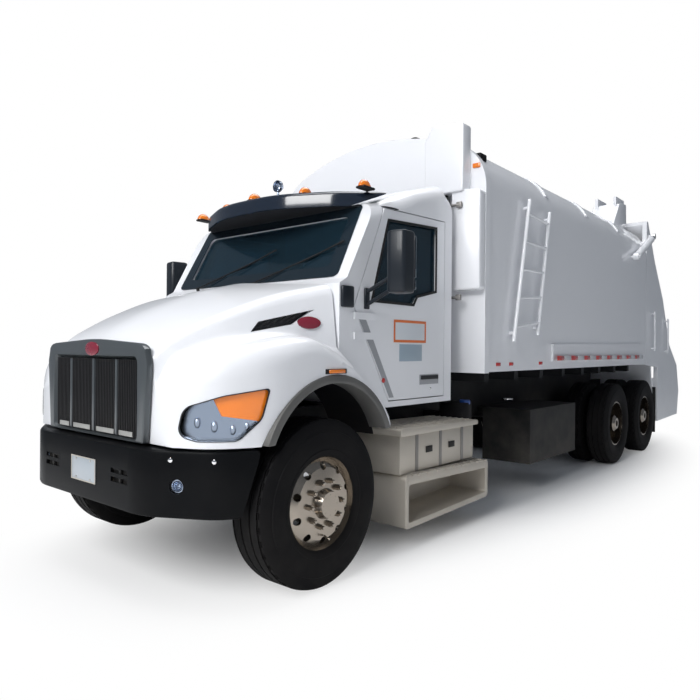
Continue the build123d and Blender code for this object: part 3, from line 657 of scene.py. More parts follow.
def hoodSkin(thickness, share):
    # The curved skin with its nose closed, given a wall.
    places = []
    stations = hoodShape["stations"]
    for low, high in zip(stations, stations[1:]):
        for step in range(hoodShape["stepsBetween"]):
            places.append(low[0] + (high[0] - low[0]) * step / hoodShape["stepsBetween"])
    places.append(stations[-1][0])
    rings = [hoodRing(stationAt(place)) for place in places]
    clearSelection()
    bpy.ops.mesh.primitive_grid_add(x_subdivisions=len(rings[0]) - 1, y_subdivisions=len(rings) - 1,
                                    size=2.0)
    skin = bpy.context.object
    across, along = len(rings[0]) - 1, len(rings) - 1
    nose = []
    for corner in skin.data.vertices:
        column = round((corner.co.x + 1.0) / 2.0 * across)
        row = round((corner.co.y + 1.0) / 2.0 * along)
        corner.co = rings[row][column]
        if row == 0:
            nose.append(corner.index)
    pick(skin)
    dropSelection()
    for index in nose:
        skin.data.vertices[index].select = True
    editMode()
    bpy.ops.mesh.select_mode(type="VERT")
    bpy.ops.mesh.edge_face_add()
    objectMode()
    outwards(skin)
    top = max(skin.data.polygons, key=lambda face: face.center.z)
    if top.normal.z < 0.0:
        skin.data.flip_normals()
    wall = skin.modifiers.new("wall", "SOLIDIFY")
    wall.thickness = thickness
    wall.offset = share
    wall.use_even_offset = True
    applyTo(skin, wall)
    return skin


def lampPrism(side, share):
    # The lamp's outline along the corner's diagonal, drawn in a little by the share.
    corners = roundCorners(hoodShape["lamp"], hoodShape["lampCorners"])
    middle = sum(corners, Vector((0.0, 0.0))) / len(corners)
    way = math.sqrt(0.5)
    outline = []
    for corner in corners:
        d, h = middle + (corner - middle) * share
        outline.append(spot((d - 0.2) * way, side * (d + 0.2) * way, h))
    return platePiece(outline, (0.7 * way, side * 0.7 * way, 0.0))


archSteps = 32


def archRing(side, sides, radii, turns, low):
    # Part of a ring round the wheel, from the rear turn to the front turn.
    outline = []
    for order, radius in enumerate(radii):
        rise = (low - hoodShape["archHeight"]) / radius
        stop = math.degrees(math.asin(max(-1.0, min(1.0, rise))))
        first, last = max(turns[0], stop), min(turns[1], 180.0 - stop)
        arc = []
        for step in range(archSteps + 1):
            turn = math.radians(first + (last - first) * step / archSteps)
            arc.append((hoodShape["archAt"] + radius * math.cos(turn),
                        hoodShape["archHeight"] + radius * math.sin(turn)))
        outline += arc if order == 0 else arc[::-1]
    return sideForm(outline, [side * y for y in sides])


def archPair(sides, radii, turns, low):
    return joinPieces([archRing(side, sides, radii, turns, low) for side in (1.0, -1.0)])


def fitHood():
    shape = hoodShape
    shell = hoodSkin(shape["wall"], -1.0)
    half = shape["half"]
    for side in (1.0, -1.0):
        sides = [side * (half - inset) for inset in shape["tailSides"]]
        shell = cutPiece(shell, sideForm(shape["tail"], sides, 0.030), "UNION")
    for side in (1.0, -1.0):
        arch = rodPiece(spot(shape["archAt"], side * linerShape["roof"][0][0], shape["archHeight"]),
                        spot(shape["archAt"], side * (half + 0.060), shape["archHeight"]),
                        shape["archRadius"], sides=128)
        shell = cutPiece(shell, arch)
        shell = cutPiece(shell, sideForm(shape["vent"], [side * y for y in shape["ventSides"]]))
        shell = cutPiece(shell, lampPrism(side, 1.0))
    shell = cutPiece(shell, blockPiece(spot(2.0, -1.5, 0.8), spot(0.0, 1.5, shape["low"]), 0.0))
    nose = platePiece([spot(0.090, y, z) for y, z in shape["nose"]], (-0.080, 0.0, 0.0))
    shell = cutPiece(shell, nose)
    keepForm(shell, "hoodSkin", "hood_shell", "hood", "white_paint", smooth=28.0)
    inner, outer = shape["lipSides"]
    lips = archPair((half - inner, half + outer), shape["lipRadii"], (0.0, 180.0), 0.940)
    roundEdges(lips, shape["lipEdge"], angle=60.0)
    # The lips' grey colour is a painted reflection on black plastic.
    finishPiece(lips, "archLips", "hood", "bumper_black", "lip_painted_sheen")
    front = joinPieces([archPair(*linerShape["roof"]), archPair(*linerShape["wall"])])
    finishPiece(front, "frontLiners", "hood", "tank_black")
    finishPiece(archPair(*linerShape["rear"]), "rearLiners", "chassis", "tank_black")
    print("hood shell fitted")


def fitLenses():
    wall, lie, share = lampFit["lens"]
    lens = hoodSkin(wall, lie)
    lamps = [cutPiece(copyPiece(lens), lampPrism(side, share), "INTERSECT") for side in (1.0, -1.0)]
    bpy.data.objects.remove(lens, do_unlink=True)
    wall, lie, share = lampFit["rim"]
    rims = []
    for side in (1.0, -1.0):
        rim = cutPiece(hoodSkin(wall, lie), lampPrism(side, share), "INTERSECT")
        rims.append(cutPiece(rim, lampPrism(side, lampFit["rimHole"])))
    finishPiece(joinPieces(rims), "lampRims", "hood", "tank_black", "cab_trim", smooth=30.0)
    keepForm(joinPieces(lamps), "lampLenses", "headlamps", "hood", "lamp_clear")
    print("lamp lenses fitted")


# Grille frame
grilleFrame = {
    "outline": ((-0.580, 0.935), (-0.625, 1.475), (0.0, 1.510), (0.625, 1.475), (0.580, 0.935)),
    "radii": (0.012, 0.095, 2.500, 0.095, 0.012),
    "raised": (1.445, 0.035),
    "front": 0.060,
    "rear": 0.108,
    "half": 0.500,
    "heights": (0.960, 1.420),
    "spread": 0.020,
}


def fitGrilleFrame():
    shape = grilleFrame
    corners = roundCorners(shape["outline"], shape["radii"])
    frameForm = platePiece([spot(shape["rear"], y, z) for y, z in corners],
                           (shape["rear"] - shape["front"], 0.0, 0.0), 0.012)
    low, high = shape["heights"]
    middle = (low + high) / 2
    mouth = roundCorners(((-shape["half"], low), (-shape["half"], high), (shape["half"], high),
                          (shape["half"], low)), 0.040)
    cutter = platePiece([spot(shape["rear"] + 0.001, y, z) for y, z in mouth],
                        (shape["rear"] - shape["front"] + 0.002, 0.0, 0.0))
    for corner in cutter.data.vertices:
        if corner.co.x > spot(shape["front"] + 0.01, 0.0, 0.0).x:
            corner.co.y *= 1.0 + shape["spread"] / shape["half"]
            taller = 1.0 + shape["spread"] / (high - middle)
            corner.co.z = middle + (corner.co.z - middle) * taller
    frameForm = cutPiece(frameForm, cutter)
    above, lift = shape["raised"]
    for corner in frameForm.data.vertices:
        if corner.co.z > above:
            corner.co.z += lift
    keepForm(frameForm, "grilleFrame", "grille_surround", "hood", "grille_grey")
    print("grille frame fitted")


# Bumper beam
beamShape = {
    "plan": ((0.460, -1.150), (0.240, -1.040), (0.007, -0.640), (0.007, 0.640), (0.240, 1.040),
             (0.460, 1.150)),
    "inside": ((0.468, -1.138), (0.249, -1.028), (0.021, -0.634), (0.021, 0.634), (0.249, 1.028),
               (0.468, 1.138)),
    "radii": (0.0, 0.300, 0.450, 0.450, 0.300, 0.0),
    "insideRadii": (0.0, 0.290, 0.436, 0.436, 0.290, 0.0),
    "heights": (0.540, 0.920),
    "wall": 0.014,
    "edge": 0.020,
    "lampPlace": (0.114, 0.830, 0.720),
    "lampWay": (0.857, 0.514, 0.0),
    "lampRadius": 0.042,
    "lampDepth": 0.060,
    "back": (0.200, 0.930),
    "ends": ((0.355, -0.01), (0.465, 0.39), (0.500, 0.39), (0.500, -0.01)),
    "endSides": (0.900, 1.200),
    "slots": (0.330, 0.510),
    "slotFeet": (0.700, 0.752),
    "slotHeight": 0.028,
}


def fitBeam():
    shape = beamShape
    low, high = shape["heights"]
    wall = shape["wall"]
    beam = planForm(shape["plan"], shape["heights"], shape["radii"], shape["edge"])
    beam = cutPiece(beam, planForm(shape["inside"], (low + wall, high - wall),
                                   shape["insideRadii"]))
    at, half = shape["back"]
    beam = cutPiece(beam, blockPiece(spot(0.600, -half, low - 0.01), spot(at, half, high + 0.01),
                                     0.0))
    for side in (1.0, -1.0):
        ends = [(s, low + rise) for s, rise in shape["ends"]]
        beam = cutPiece(beam, sideForm(ends, [side * y for y in shape["endSides"]]))
        near, far = shape["slots"]
        for foot in shape["slotFeet"]:
            beam = cutPiece(beam, blockPiece(spot(0.040, side * near, foot),
                                             spot(-0.010, side * far, foot + shape["slotHeight"]),
                                             0.0))
        s, y, z = shape["lampPlace"]
        way = Vector(shape["lampWay"])
        way.y *= side
        middle = spot(s, side * y, z)
        reach = way * shape["lampDepth"]
        beam = cutPiece(beam, rodPiece(middle + reach, middle - reach, shape["lampRadius"],
                                       sides=40))
    keepForm(beam, "bumperBeam", "bumper", "chassis", "bumper_black")
    print("bumper beam fitted")


# Sun visor
visorShape = {
    "plan": ((1.900, 1.050), (1.760, 1.040), (1.500, 0.740), (1.290, 0.300)),
    "inside": ((1.914, 1.036), (1.774, 1.026), (1.514, 0.731), (1.304, 0.293)),
    "radii": (0.0, 0.160, 0.600, 0.900),
    "heights": (2.540, 2.655),
    "roof": ((1.560, 2.400), (1.640, 2.548), (1.900, 2.664), (2.200, 2.800), (2.200, 2.400)),
    "slope": ((1.560, 2.530), (1.815, 2.660), (2.000, 2.700), (2.000, 2.500)),
    "roofHalf": 1.032,
    "slopeHalf": 1.100,
    "rearFrom": 1.895,
    "rearBevel": 0.036,
    "wall": 0.014,
    "lining": (0.003, 0.009),
}


def fitVisor():
    shape = visorShape
    low, high = shape["heights"]
    wholePlan = [*shape["plan"], *[(s, -y) for s, y in shape["plan"][::-1]]]
    inside = [*shape["inside"], *[(s, -y) for s, y in shape["inside"][::-1]]]
    radii = [*shape["radii"], *shape["radii"][::-1]]
    visor = planForm(wholePlan, (low, high), radii)
    pick(visor)
    dropSelection()
    rear = spot(shape["rearFrom"], 0.0, 0.0).x
    for edge in visor.data.edges:
        ends = [visor.data.vertices[index].co for index in edge.vertices]
        if all(end.z > high - 0.001 and end.x > rear for end in ends):
            edge.select = True
    editMode()
    bpy.ops.mesh.select_mode(type="EDGE")
    bpy.ops.mesh.bevel(offset=shape["rearBevel"], segments=5, affect="EDGES")
    objectMode()
    outwards(visor)
    visor = cutPiece(visor, planForm(inside, (low - 0.01, high - shape["wall"]), radii))
    visor = cutPiece(visor, sideForm(shape["roof"], (-shape["roofHalf"], shape["roofHalf"])))
    visor = cutPiece(visor, sideForm(shape["slope"], (-shape["slopeHalf"], shape["slopeHalf"])))
    keepForm(visor, "visorShell", "sun_visor", "chassis", "visor_tint")
    lining = planForm(inside, [low + rise for rise in shape["lining"]], radii)
    finishPiece(lining, "visorLining", "chassis", "cab_trim")
    print("visor fitted")


# Battery box and the open step
stepForm = {
    "outer": ((1.860, 0.560), (3.140, 0.520), (3.140, 0.190), (1.860, 0.160)),
    "inner": ((1.905, 0.488), (3.095, 0.448), (3.095, 0.235), (1.905, 0.205)),
    "tread": ((1.810, 0.905), (2.970, 0.885), (2.970, 0.845), (1.810, 0.850)),
    "outerSides": (0.760, 1.160),
    "innerSides": (0.800, 1.161),
    "treadSides": (0.660, 1.150),
    "box": ((2.940, 0.640, 0.560), (1.840, 1.120, 0.850)),
    "beam": ((2.700, 0.430, 0.700), (2.000, 0.660, 0.830)),
    "stays": (2.060, 2.840),
    "stayHalf": 0.040,
}


def fitStepBox():
    shape = stepForm
    loop = sideForm(shape["outer"], shape["outerSides"], 0.040)
    loop = cutPiece(loop, sideForm(shape["inner"], shape["innerSides"], 0.020))
    roundEdges(loop, 0.003, angle=60.0)
    box = spotBlock(shape["box"], 0.008)
    tread = sideForm(shape["tread"], shape["treadSides"], 0.016, 0.003)
    stays = [spotBlock(shape["beam"], 0.004)]
    for place in shape["stays"]:
        stays.append(blockPiece(spot(place + shape["stayHalf"], 0.770, 0.500),
                                spot(place - shape["stayHalf"], 0.800, 0.620), 0.002))
    keepForm(joinPieces([box, loop, tread, *stays]), "stepBox", "battery_steps", "chassis",
             "bright_aluminium")
    print("step box fitted")


# Housings on the body's front wall, its rings and the gate's hinge covers
towerForm = {
    "upper": ((0.690, 2.860), (0.690, 3.350), (0.760, 3.470), (1.080, 3.450), (1.080, 2.860)),
    "lower": ((0.950, 2.010), (0.950, 2.900), (1.230, 2.860), (1.230, 2.010)),
    "upperPlaces": (2.930, 2.790),
    "lowerPlaces": (2.930, 2.820),
    "hoses": ((0.730, 0.024), (0.800, 0.020), (0.860, 0.024)),
    "hoseTop": (2.860, 2.870),
    "hoseFoot": (2.880, 2.560),
    "hoseLean": 0.05,
}
ringForm = {"front": (2.930, 3.010), "ribs": (4.300, 5.500, 6.700), "ribWidth": 0.070,
            "ribLow": 3.080, "frontLow": 1.302, "proud": 0.006, "spread": 1.010, "middle": 2.400}
coverForm = {
    "cheek": ((7.330, 3.300), (7.600, 3.660), (7.930, 3.700), (7.950, 3.300)),
    "front": ((7.330, 3.300), (7.600, 3.660), (7.690, 3.672), (7.640, 3.300)),
    "cheeks": ((0.885, 0.935), (0.565, 0.615)),
    "frontSides": (0.612, 0.888),
}


def bodySlab(first, last, low):
    # A thin slice of the body, a little larger than the body itself.
    slab = copyPiece(cadNodes["body_shell"])
    outwards(slab)
    sliceActive(spot(last, 0.0, 0.0), (-1.0, 0.0, 0.0))
    sliceActive(spot(first, 0.0, 0.0), (1.0, 0.0, 0.0))
    sliceActive((0.0, 0.0, low), (0.0, 0.0, -1.0))
    for corner in slab.data.vertices:
        corner.co.y *= ringForm["spread"]
        corner.co.z = ringForm["middle"] + (corner.co.z - ringForm["middle"]) * ringForm["spread"]
    return slab


def fitTowers():
    shape = towerForm
    boxes = []
    for outline, places in ((shape["upper"], shape["upperPlaces"]),
                            (shape["lower"], shape["lowerPlaces"])):
        corners = roundCorners(outline, 0.030)
        boxes.append(platePiece([spot(places[0], y, z) for y, z in corners],
                                (places[0] - places[1], 0.0, 0.0), 0.012))
    keepForm(joinPieces(boxes), "towerBoxes", "front_towers", "chassis", "white_paint", smooth=50.0)
    (topAt, top), (footAt, foot) = shape["hoseTop"], shape["hoseFoot"]
    hoses = []
    for y, radius in shape["hoses"]:
        start, end = spot(topAt, y, top), spot(footAt, y + shape["hoseLean"], foot)
        hoses.append(rodPiece(start, end, radius, 0.0, 14))
    finishPiece(joinPieces(hoses), "towerHoses", "chassis", "tank_black", "rubber_trim")
    rings = [bodySlab(*ringForm["front"], ringForm["frontLow"])]
    for place in ringForm["ribs"]:
        rings.append(bodySlab(place, place + ringForm["ribWidth"], ringForm["ribLow"]))
    rings[0].data.transform(Matrix.Translation((ringForm["proud"], 0.0, 0.0)))
    finishPiece(joinPieces(rings), "bodyRings", "chassis", "white_paint", smooth=30.0)
    covers = []
    for side in (1.0, -1.0):
        for near, far in coverForm["cheeks"]:
            covers.append(sideForm(coverForm["cheek"], (side * near, side * far), 0.030, 0.006))
        sides = [side * y for y in coverForm["frontSides"]]
        covers.append(sideForm(coverForm["front"], sides, 0.020, 0.004))
    finishPiece(joinPieces(covers), "hingeCovers", "chassis", "white_paint", smooth=50.0)
    print("towers and rings fitted")


# Mirror heads on their arms
mirrorShape = {
    "head": ((1.470, 1.245), (1.498, 1.383), (1.636, 1.388), (1.655, 1.215)),
    "heights": (1.875, 2.300),
    "arms": (1.805, 1.895),
    "armAt": 1.545,
    "armRadius": 0.014,
    "armRise": 0.115,
    "foot": ((0.024, 1.0205, 1.775), (-0.024, 1.040, 1.925)),
}


def fitMirrors():
    shape = mirrorShape
    head = planForm(shape["head"], shape["heights"], 0.040, 0.022)
    at = shape["armAt"]
    rods = [rodPiece(spot(at, 1.026, low), spot(at + 0.015, 1.270, low + shape["armRise"]),
                     shape["armRadius"], 0.0, 16) for low in shape["arms"]]
    foot = spotBlock([(at + s, y, z) for s, y, z in shape["foot"]], 0.006)
    left = joinPieces([head, *rods, foot])
    outwards(left)
    right = copyPiece(left, otherSide)
    keepForm(left, "mirrorHead_left", "mirror_left", "door_left", "mirror_black", smooth=40.0)
    keepForm(right, "mirrorHead_right", "mirror_right", "door_right", "mirror_black", smooth=40.0)
    print("mirrors fitted")


fitHood()
fitLenses()
fitGrilleFrame()
fitBeam()
fitVisor()
fitStepBox()
fitMirrors()
fitTowers()


# Tyres
tyreShape = {
    "frontWidth": 0.300,
    "dualWidth": 0.268,
    "radius": 0.530,
    "grooveDepth": 0.013,
    "steps": 80,
    "sipeDepth": 0.007,
    "sipeRim": 0.004,
    "crown": (0.026, 0.066),
    "crownReach": 0.505,
    "frontPlace": 1.040,
    "dualPlaces": (0.769, 1.081),
}
wheelHeight = 0.530
wheelPlaces = {"front": 0.96, "mid": 6.71, "rear": 8.05}


def tyreProfile(width):
    h = width / 2
    r = tyreShape["radius"]
    side = [
        (-h + 0.031, 0.289), (-h + 0.018, 0.300), (-h + 0.007, 0.326), (-h + 0.0045, 0.334),
        (-h + 0.0065, 0.340), (-h + 0.002, 0.360), (-h + 0.0005, 0.395), (-h + 0.001, 0.430),
        (-h + 0.0025, 0.447), (-h + 0.0075, 0.451), (-h + 0.010, 0.470), (-h + 0.016, 0.492),
        (-h + 0.022, 0.509), (-h + 0.030, r - 0.008), (-h + 0.042, r - 0.004),
    ]
    grooves = (-0.34 * width, -0.125 * width)
    top = []
    for place in grooves:
        top += [(place - 0.007, r - 0.001), (place - 0.004, r - tyreShape["grooveDepth"]),
                (place + 0.004, r - tyreShape["grooveDepth"]), (place + 0.007, r - 0.001)]
    half = side + [point for point in top if point[0] > -h + 0.045]
    inner = [(h - 0.031, 0.289), (h - 0.050, 0.300), (-h + 0.050, 0.300)]
    return half + [(-along, radius) for along, radius in half[::-1]][:-1] + inner


def makeTyre(width):
    tyre = turnedPiece(tyreProfile(width), tyreShape["steps"])
    near, far = tyreShape["crown"]
    pick(tyre)
    dropSelection()
    for face in tyre.data.polygons:
        middle = face.center
        reach = math.hypot(middle.x, middle.z)
        turn = math.atan2(middle.z, middle.x) / (2.0 * math.pi) * tyreShape["steps"]
        crown = near < width / 2 - abs(middle.y) < far
        if crown and reach > tyreShape["crownReach"] and int(math.floor(turn)) % 2 == 0:
            face.select = True
    editMode()
    bpy.ops.mesh.inset(thickness=tyreShape["sipeRim"], depth=-tyreShape["sipeDepth"],
                       use_individual=True)
    objectMode()
    return tyre


def tyreAt(tyre, axle, y):
    return copyPiece(tyre, Matrix.Translation(spot(wheelPlaces[axle], y, wheelHeight)))


def fitTyres():
    front = makeTyre(tyreShape["frontWidth"])
    dual = makeTyre(tyreShape["dualWidth"])
    for sideName, side in (("left", 1.0), ("right", -1.0)):
        tyre = tyreAt(front, "front", side * tyreShape["frontPlace"])
        finishPiece(tyre, "frontTyre_" + sideName, "front_wheel_" + sideName, "tyre_rubber",
                    smooth=28.0)
        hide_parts("front_tyre_" + sideName)
        for axle in ("mid", "rear"):
            tyre = joinPieces([tyreAt(dual, axle, side * y) for y in tyreShape["dualPlaces"]])
            finishPiece(tyre, axle + "Tyres_" + sideName, axle + "_wheels_" + sideName,
                        "tyre_rubber", smooth=28.0)
            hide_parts(axle + "_tyres_" + sideName)
    bpy.data.objects.remove(front)
    bpy.data.objects.remove(dual)


fitTyres()
print("tyres fitted")


# Wheel nuts, hub bolts and valves
nutShape = {
    "count": 10,
    "ring": 0.1425,
    "nut": (0.019, 0.030, 0.012),
    "hubCount": 8,
    "hubBolt": (0.009, 0.010, 0.004),
    # Body, and the face of the nuts; face and ring of the hub's bolts.
    "wheels": {
        "front": ("front_wheel_", 1.172, 1.210, 0.062),
        "mid": ("mid_wheels_", 0.946, 1.164, 0.074),
        "rear": ("rear_wheels_", 0.946, 1.164, 0.074),
    },
}


def makeNut(radius, depth, cap):
    clearSelection()
    bpy.ops.mesh.primitive_cylinder_add(vertices=6, radius=radius, depth=depth,
                                        rotation=(-math.pi / 2, 0.0, 0.0),
                                        location=(0.0, depth / 2, 0.0))
    nut = bpy.context.object
    bpy.ops.object.transform_apply(location=True, rotation=True, scale=True)
    dropSelection()
    for face in nut.data.polygons:
        face.select = face.normal.y > 0.9
    editMode()
    bpy.ops.mesh.inset(thickness=radius * 0.28)
    bpy.ops.mesh.extrude_region_move(TRANSFORM_OT_translate={"value": (0.0, cap, 0.0)})
    bpy.ops.mesh.bevel(offset=cap * 0.35, segments=2)
    objectMode()
    return nut


def ringOf(piece, count, ring, face):
    copies = []
    for turn in range(count):
        angle = 2.0 * math.pi * turn / count
        place = Matrix.Rotation(angle, 4, "Y") @ Matrix.Translation((ring, face, 0.0))
        copies.append(copyPiece(piece, place))
    bpy.data.objects.remove(piece)
    return joinPieces(copies)


def fitNuts():
    for name, (body, face, capFace, capRing) in nutShape["wheels"].items():
        nuts = ringOf(makeNut(*nutShape["nut"]), nutShape["count"], nutShape["ring"], face)
        bolts = ringOf(makeNut(*nutShape["hubBolt"]), nutShape["hubCount"], capRing, capFace)
        valve = rodPiece((0.0, face, -0.20), (0.0, face + 0.045, -0.215), 0.006, 0.001, 10)
        nuts = joinPieces([nuts, bolts, valve])
        nuts.data.transform(Matrix.Translation(spot(wheelPlaces[name], 0.0, wheelHeight)))
        right = copyPiece(nuts, otherSide)
        finishPiece(nuts, name + "WheelNuts_left", body + "left", "rim_aluminium", smooth=40.0)
        finishPiece(right, name + "WheelNuts_right", body + "right", "rim_aluminium", smooth=40.0)


fitNuts()
print("wheel nuts fitted")


# Grille and nose
grilleShape = {
    "half": 0.497,
    "low": 0.962,
    "high": 1.418,
    "fins": 52,
    "fin": (0.070, 0.082),
    "finHalf": 0.003,
    "posts": (-0.290, 0.0, 0.275),
    "post": (0.086, 0.064),
    "postHalf": 0.013,
    "screen": (0.1035, 0.1075),
    "feet": ((-0.45, -0.32), (-0.26, -0.04), (0.04, 0.25), (0.31, 0.46)),
    "foot": ((0.0665, 0.964), (0.0695, 0.994)),
    "badgeAt": (0.058, 0.0, 1.480),
    "badge": (0.012, 0.164, 0.088, 1.0),
}


def grilleBlock(places, near, far, edge):
    # A block as high as the grille, between two places and two sides.
    return spotBlock(((places[0], near, grilleShape["low"]), (places[1], far, grilleShape["high"])),
                     edge)


def fitGrille():
    shape = grilleShape
    half, fat = shape["half"], shape["postHalf"]
    step = 2.0 * half / shape["fins"]
    fin = grilleBlock(shape["fin"], -shape["finHalf"], shape["finHalf"], 0.0012)
    fins = []
    for count in range(shape["fins"]):
        fins.append(copyPiece(fin, Matrix.Translation((0.0, -half + step * (count + 0.5), 0.0))))
    bpy.data.objects.remove(fin)
    finishPiece(joinPieces(fins), "grilleFins", "hood", "grille_chrome")
    posts = [grilleBlock(shape["post"], y - fat, y + fat, 0.005) for y in shape["posts"]]
    finishPiece(joinPieces(posts), "grillePosts", "hood", "grille_grey")
    screen = grilleBlock(shape["screen"], -half, half, 0.001)
    finishPiece(screen, "grilleScreen", "hood", "grille_chrome", "wire_mesh")
    (near, low), (far, high) = shape["foot"]
    feet = [spotBlock(((near, first, low), (far, last, high)), 0.0012)
            for first, last in shape["feet"]]
    finishPiece(joinPieces(feet), "grilleFeet", "hood", "grille_grey", "pale_steel")
    badge = discPiece(40, 0.5, (0.0, math.pi / 2, 0.0), shape["badge"])
    badge.location = spot(*shape["badgeAt"])
    roundEdges(badge, 0.003)
    finishPiece(badge, "noseOval", "hood", "grille_grey", "oval_enamel")


fitGrille()


# Headlamp insides
lampInside = {
    "bowlSink": (0.030, 0.022),
    "amberPlace": (0.004, 0.003),
    "amberSink": (0.018, 0.014),
    "amberCuts": (((0.262, 0.0, 1.12), (1.0, 0.0, -0.35)), ((0.380, 0.0, 1.092), (0.18, 0.0, -1.0)),
                  ((0.486, 0.0, 1.16), (-1.0, 0.0, -0.45))),
    "bulbs": ((0.235, 1.055, 0.034), (0.315, 1.035, 0.030), (0.385, 1.050, 0.026),
              (0.440, 1.085, 0.022), (0.175, 1.075, 0.030)),
    "bulbSink": (-0.022, -0.034, 0.0),
    "bulbScale": (0.6, 0.6, 1.0),
}


def sinkPiece(piece, back, inward):
    # Moves both lamps back and towards the truck's middle.
    for corner in piece.data.vertices:
        side = 1.0 if corner.co.y > 0 else -1.0
        corner.co += Vector((-back, -side * inward, 0.0))


def fitHeadlamps():
    lens = copyPiece(formPieces["headlamps"])
    outwards(lens)
    bowl = copyPiece(lens)
    sinkPiece(bowl, *lampInside["bowlSink"])
    finishPiece(bowl, "lampReflectors", "hood", "lamp_clear", "lamp_reflector", smooth=25.0)
    amber = copyPiece(lens)
    bpy.data.objects.remove(lens)
    sinkPiece(amber, *lampInside["amberPlace"])
    pick(amber)
    for place, facing in lampInside["amberCuts"]:
        sliceActive(spot(*place), facing)
    sinkPiece(amber, *lampInside["amberSink"])
    finishPiece(amber, "lampAmber", "hood", "lamp_clear", "amber_lens", smooth=25.0)
    bulbs = []
    for s, z, radius in lampInside["bulbs"]:
        skin = surfaceSpot("headlamps", spot(s, 1.6, z), (0.0, -1.0, 0.0))
        bulbs.append(ballPiece(skin + Vector(lampInside["bulbSink"]), 10, radius,
                               lampInside["bulbScale"]))
    finishPiece(bothSides(joinPieces(bulbs)), "lampBulbs", "hood", "lamp_clear", "lamp_reflector")


fitHeadlamps()
print("front fitted")


# Bumper
bumperShape = {
    "plateHalf": 0.152,
    "plateHeights": (0.652, 0.804),
    "plateBack": 0.0075,
    "plateFace": 0.0045,
    "rim": 0.007,
    "studFace": 0.0015,
    "studSides": (-0.089, 0.089),
    "studInset": 0.018,
    "slotBack": ((0.030, 0.322, 0.694), (0.045, 0.518, 0.788)),
    "slotPost": ((0.012, 0.410, 0.694), (0.030, 0.430, 0.788)),
    "bowl": ((0.000, 0.051), (0.012, 0.051), (0.012, 0.043), (-0.012, 0.040), (-0.040, 0.018),
             (-0.046, 0.001), (-0.050, 0.001), (-0.050, 0.024), (-0.018, 0.046), (0.000, 0.046)),
    "bowlAt": (0.140, 0.815, 0.720),
    "bowlTurn": -59.0,
    "bowlScale": 0.72,
    "glass": ((0.139, 0.8156, 0.720), (0.133, 0.8192, 0.720), 0.030),
    "bolts": ((1.015, 0.866), (0.800, 0.868)),
}


def fitBumper():
    shape = bumperShape
    half, (low, high), face = shape["plateHalf"], shape["plateHeights"], shape["plateFace"]
    plate = blockPiece(spot(shape["plateBack"], -half, low), spot(face, half, high), 0.001)
    finishPiece(plate, "numberPlate", "chassis", "bright_aluminium", "plate_sheet")
    corners = ((-half, low), (half, low), (half, high), (-half, high))
    rim = ringPiece([spot(face, y, z) for y, z in corners], shape["rim"], (0.0015, 0.0, 0.0))
    inset = shape["studInset"]
    studs = [rodPiece(spot(face, y, z), spot(shape["studFace"], y, z), 0.006, 0.0008, 12)
             for y in shape["studSides"] for z in (low + inset, high - inset)]
    finishPiece(joinPieces([rim] + studs), "plateRim", "chassis", "bright_aluminium")
    slots = [spotBlock(shape[part], 0.002) for part in ("slotBack", "slotPost")]
    finishPiece(bothSides(joinPieces(slots)), "towSlotLiners", "chassis", "frame_black")
    bowl = turnedPiece(shape["bowl"], 36)
    bowl.data.transform(Matrix.Translation(spot(*shape["bowlAt"]))
                        @ Matrix.Rotation(math.radians(shape["bowlTurn"]), 4, "Z")
                        @ Matrix.Scale(shape["bowlScale"], 4))
    finishPiece(bothSides(bowl), "fogLampBowls", "chassis", "bumper_black", "lamp_reflector")
    start, end, radius = shape["glass"]
    glass = rodPiece(spot(*start), spot(*end), radius, 0.003, 32)
    finishPiece(bothSides(glass), "fogLampGlass", "chassis", "lamp_clear")
    bolts = []
    way = Vector(beamShape["lampWay"])
    for y, z in shape["bolts"]:
        skin = surfaceSpot("bumper", spot(-0.5, y, z), (-1.0, 0.0, 0.0))
        bolts.append(rodPiece(skin - way * 0.004, skin + way * 0.007, 0.014, 0.004, 20))
    finishPiece(bothSides(joinPieces(bolts)), "bumperBolts", "chassis", "bright_aluminium",
                "rod_chrome")


fitBumper()


# Hood: vents, ovals and side markers
ventShape = {"outline": ((0.645, 1.585), (0.718, 1.664), (1.118, 1.758), (0.962, 1.645)),
             "slats": 5, "skin": 0.775, "flare": 0.24}
ovalShape = {"from": (1.060, 1.6, 1.662), "size": (0.085, 0.020, 0.042, 1.0), "turn": -19.0,
             "tilt": 14.0}
markerShape = {"from": (1.050, 1.6, 1.352), "base": ((0.950, -0.010, 1.334), (1.150, 0.006, 1.366)),
               "cap": ((0.975, 0.004, 1.338), (1.125, 0.018, 1.362))}


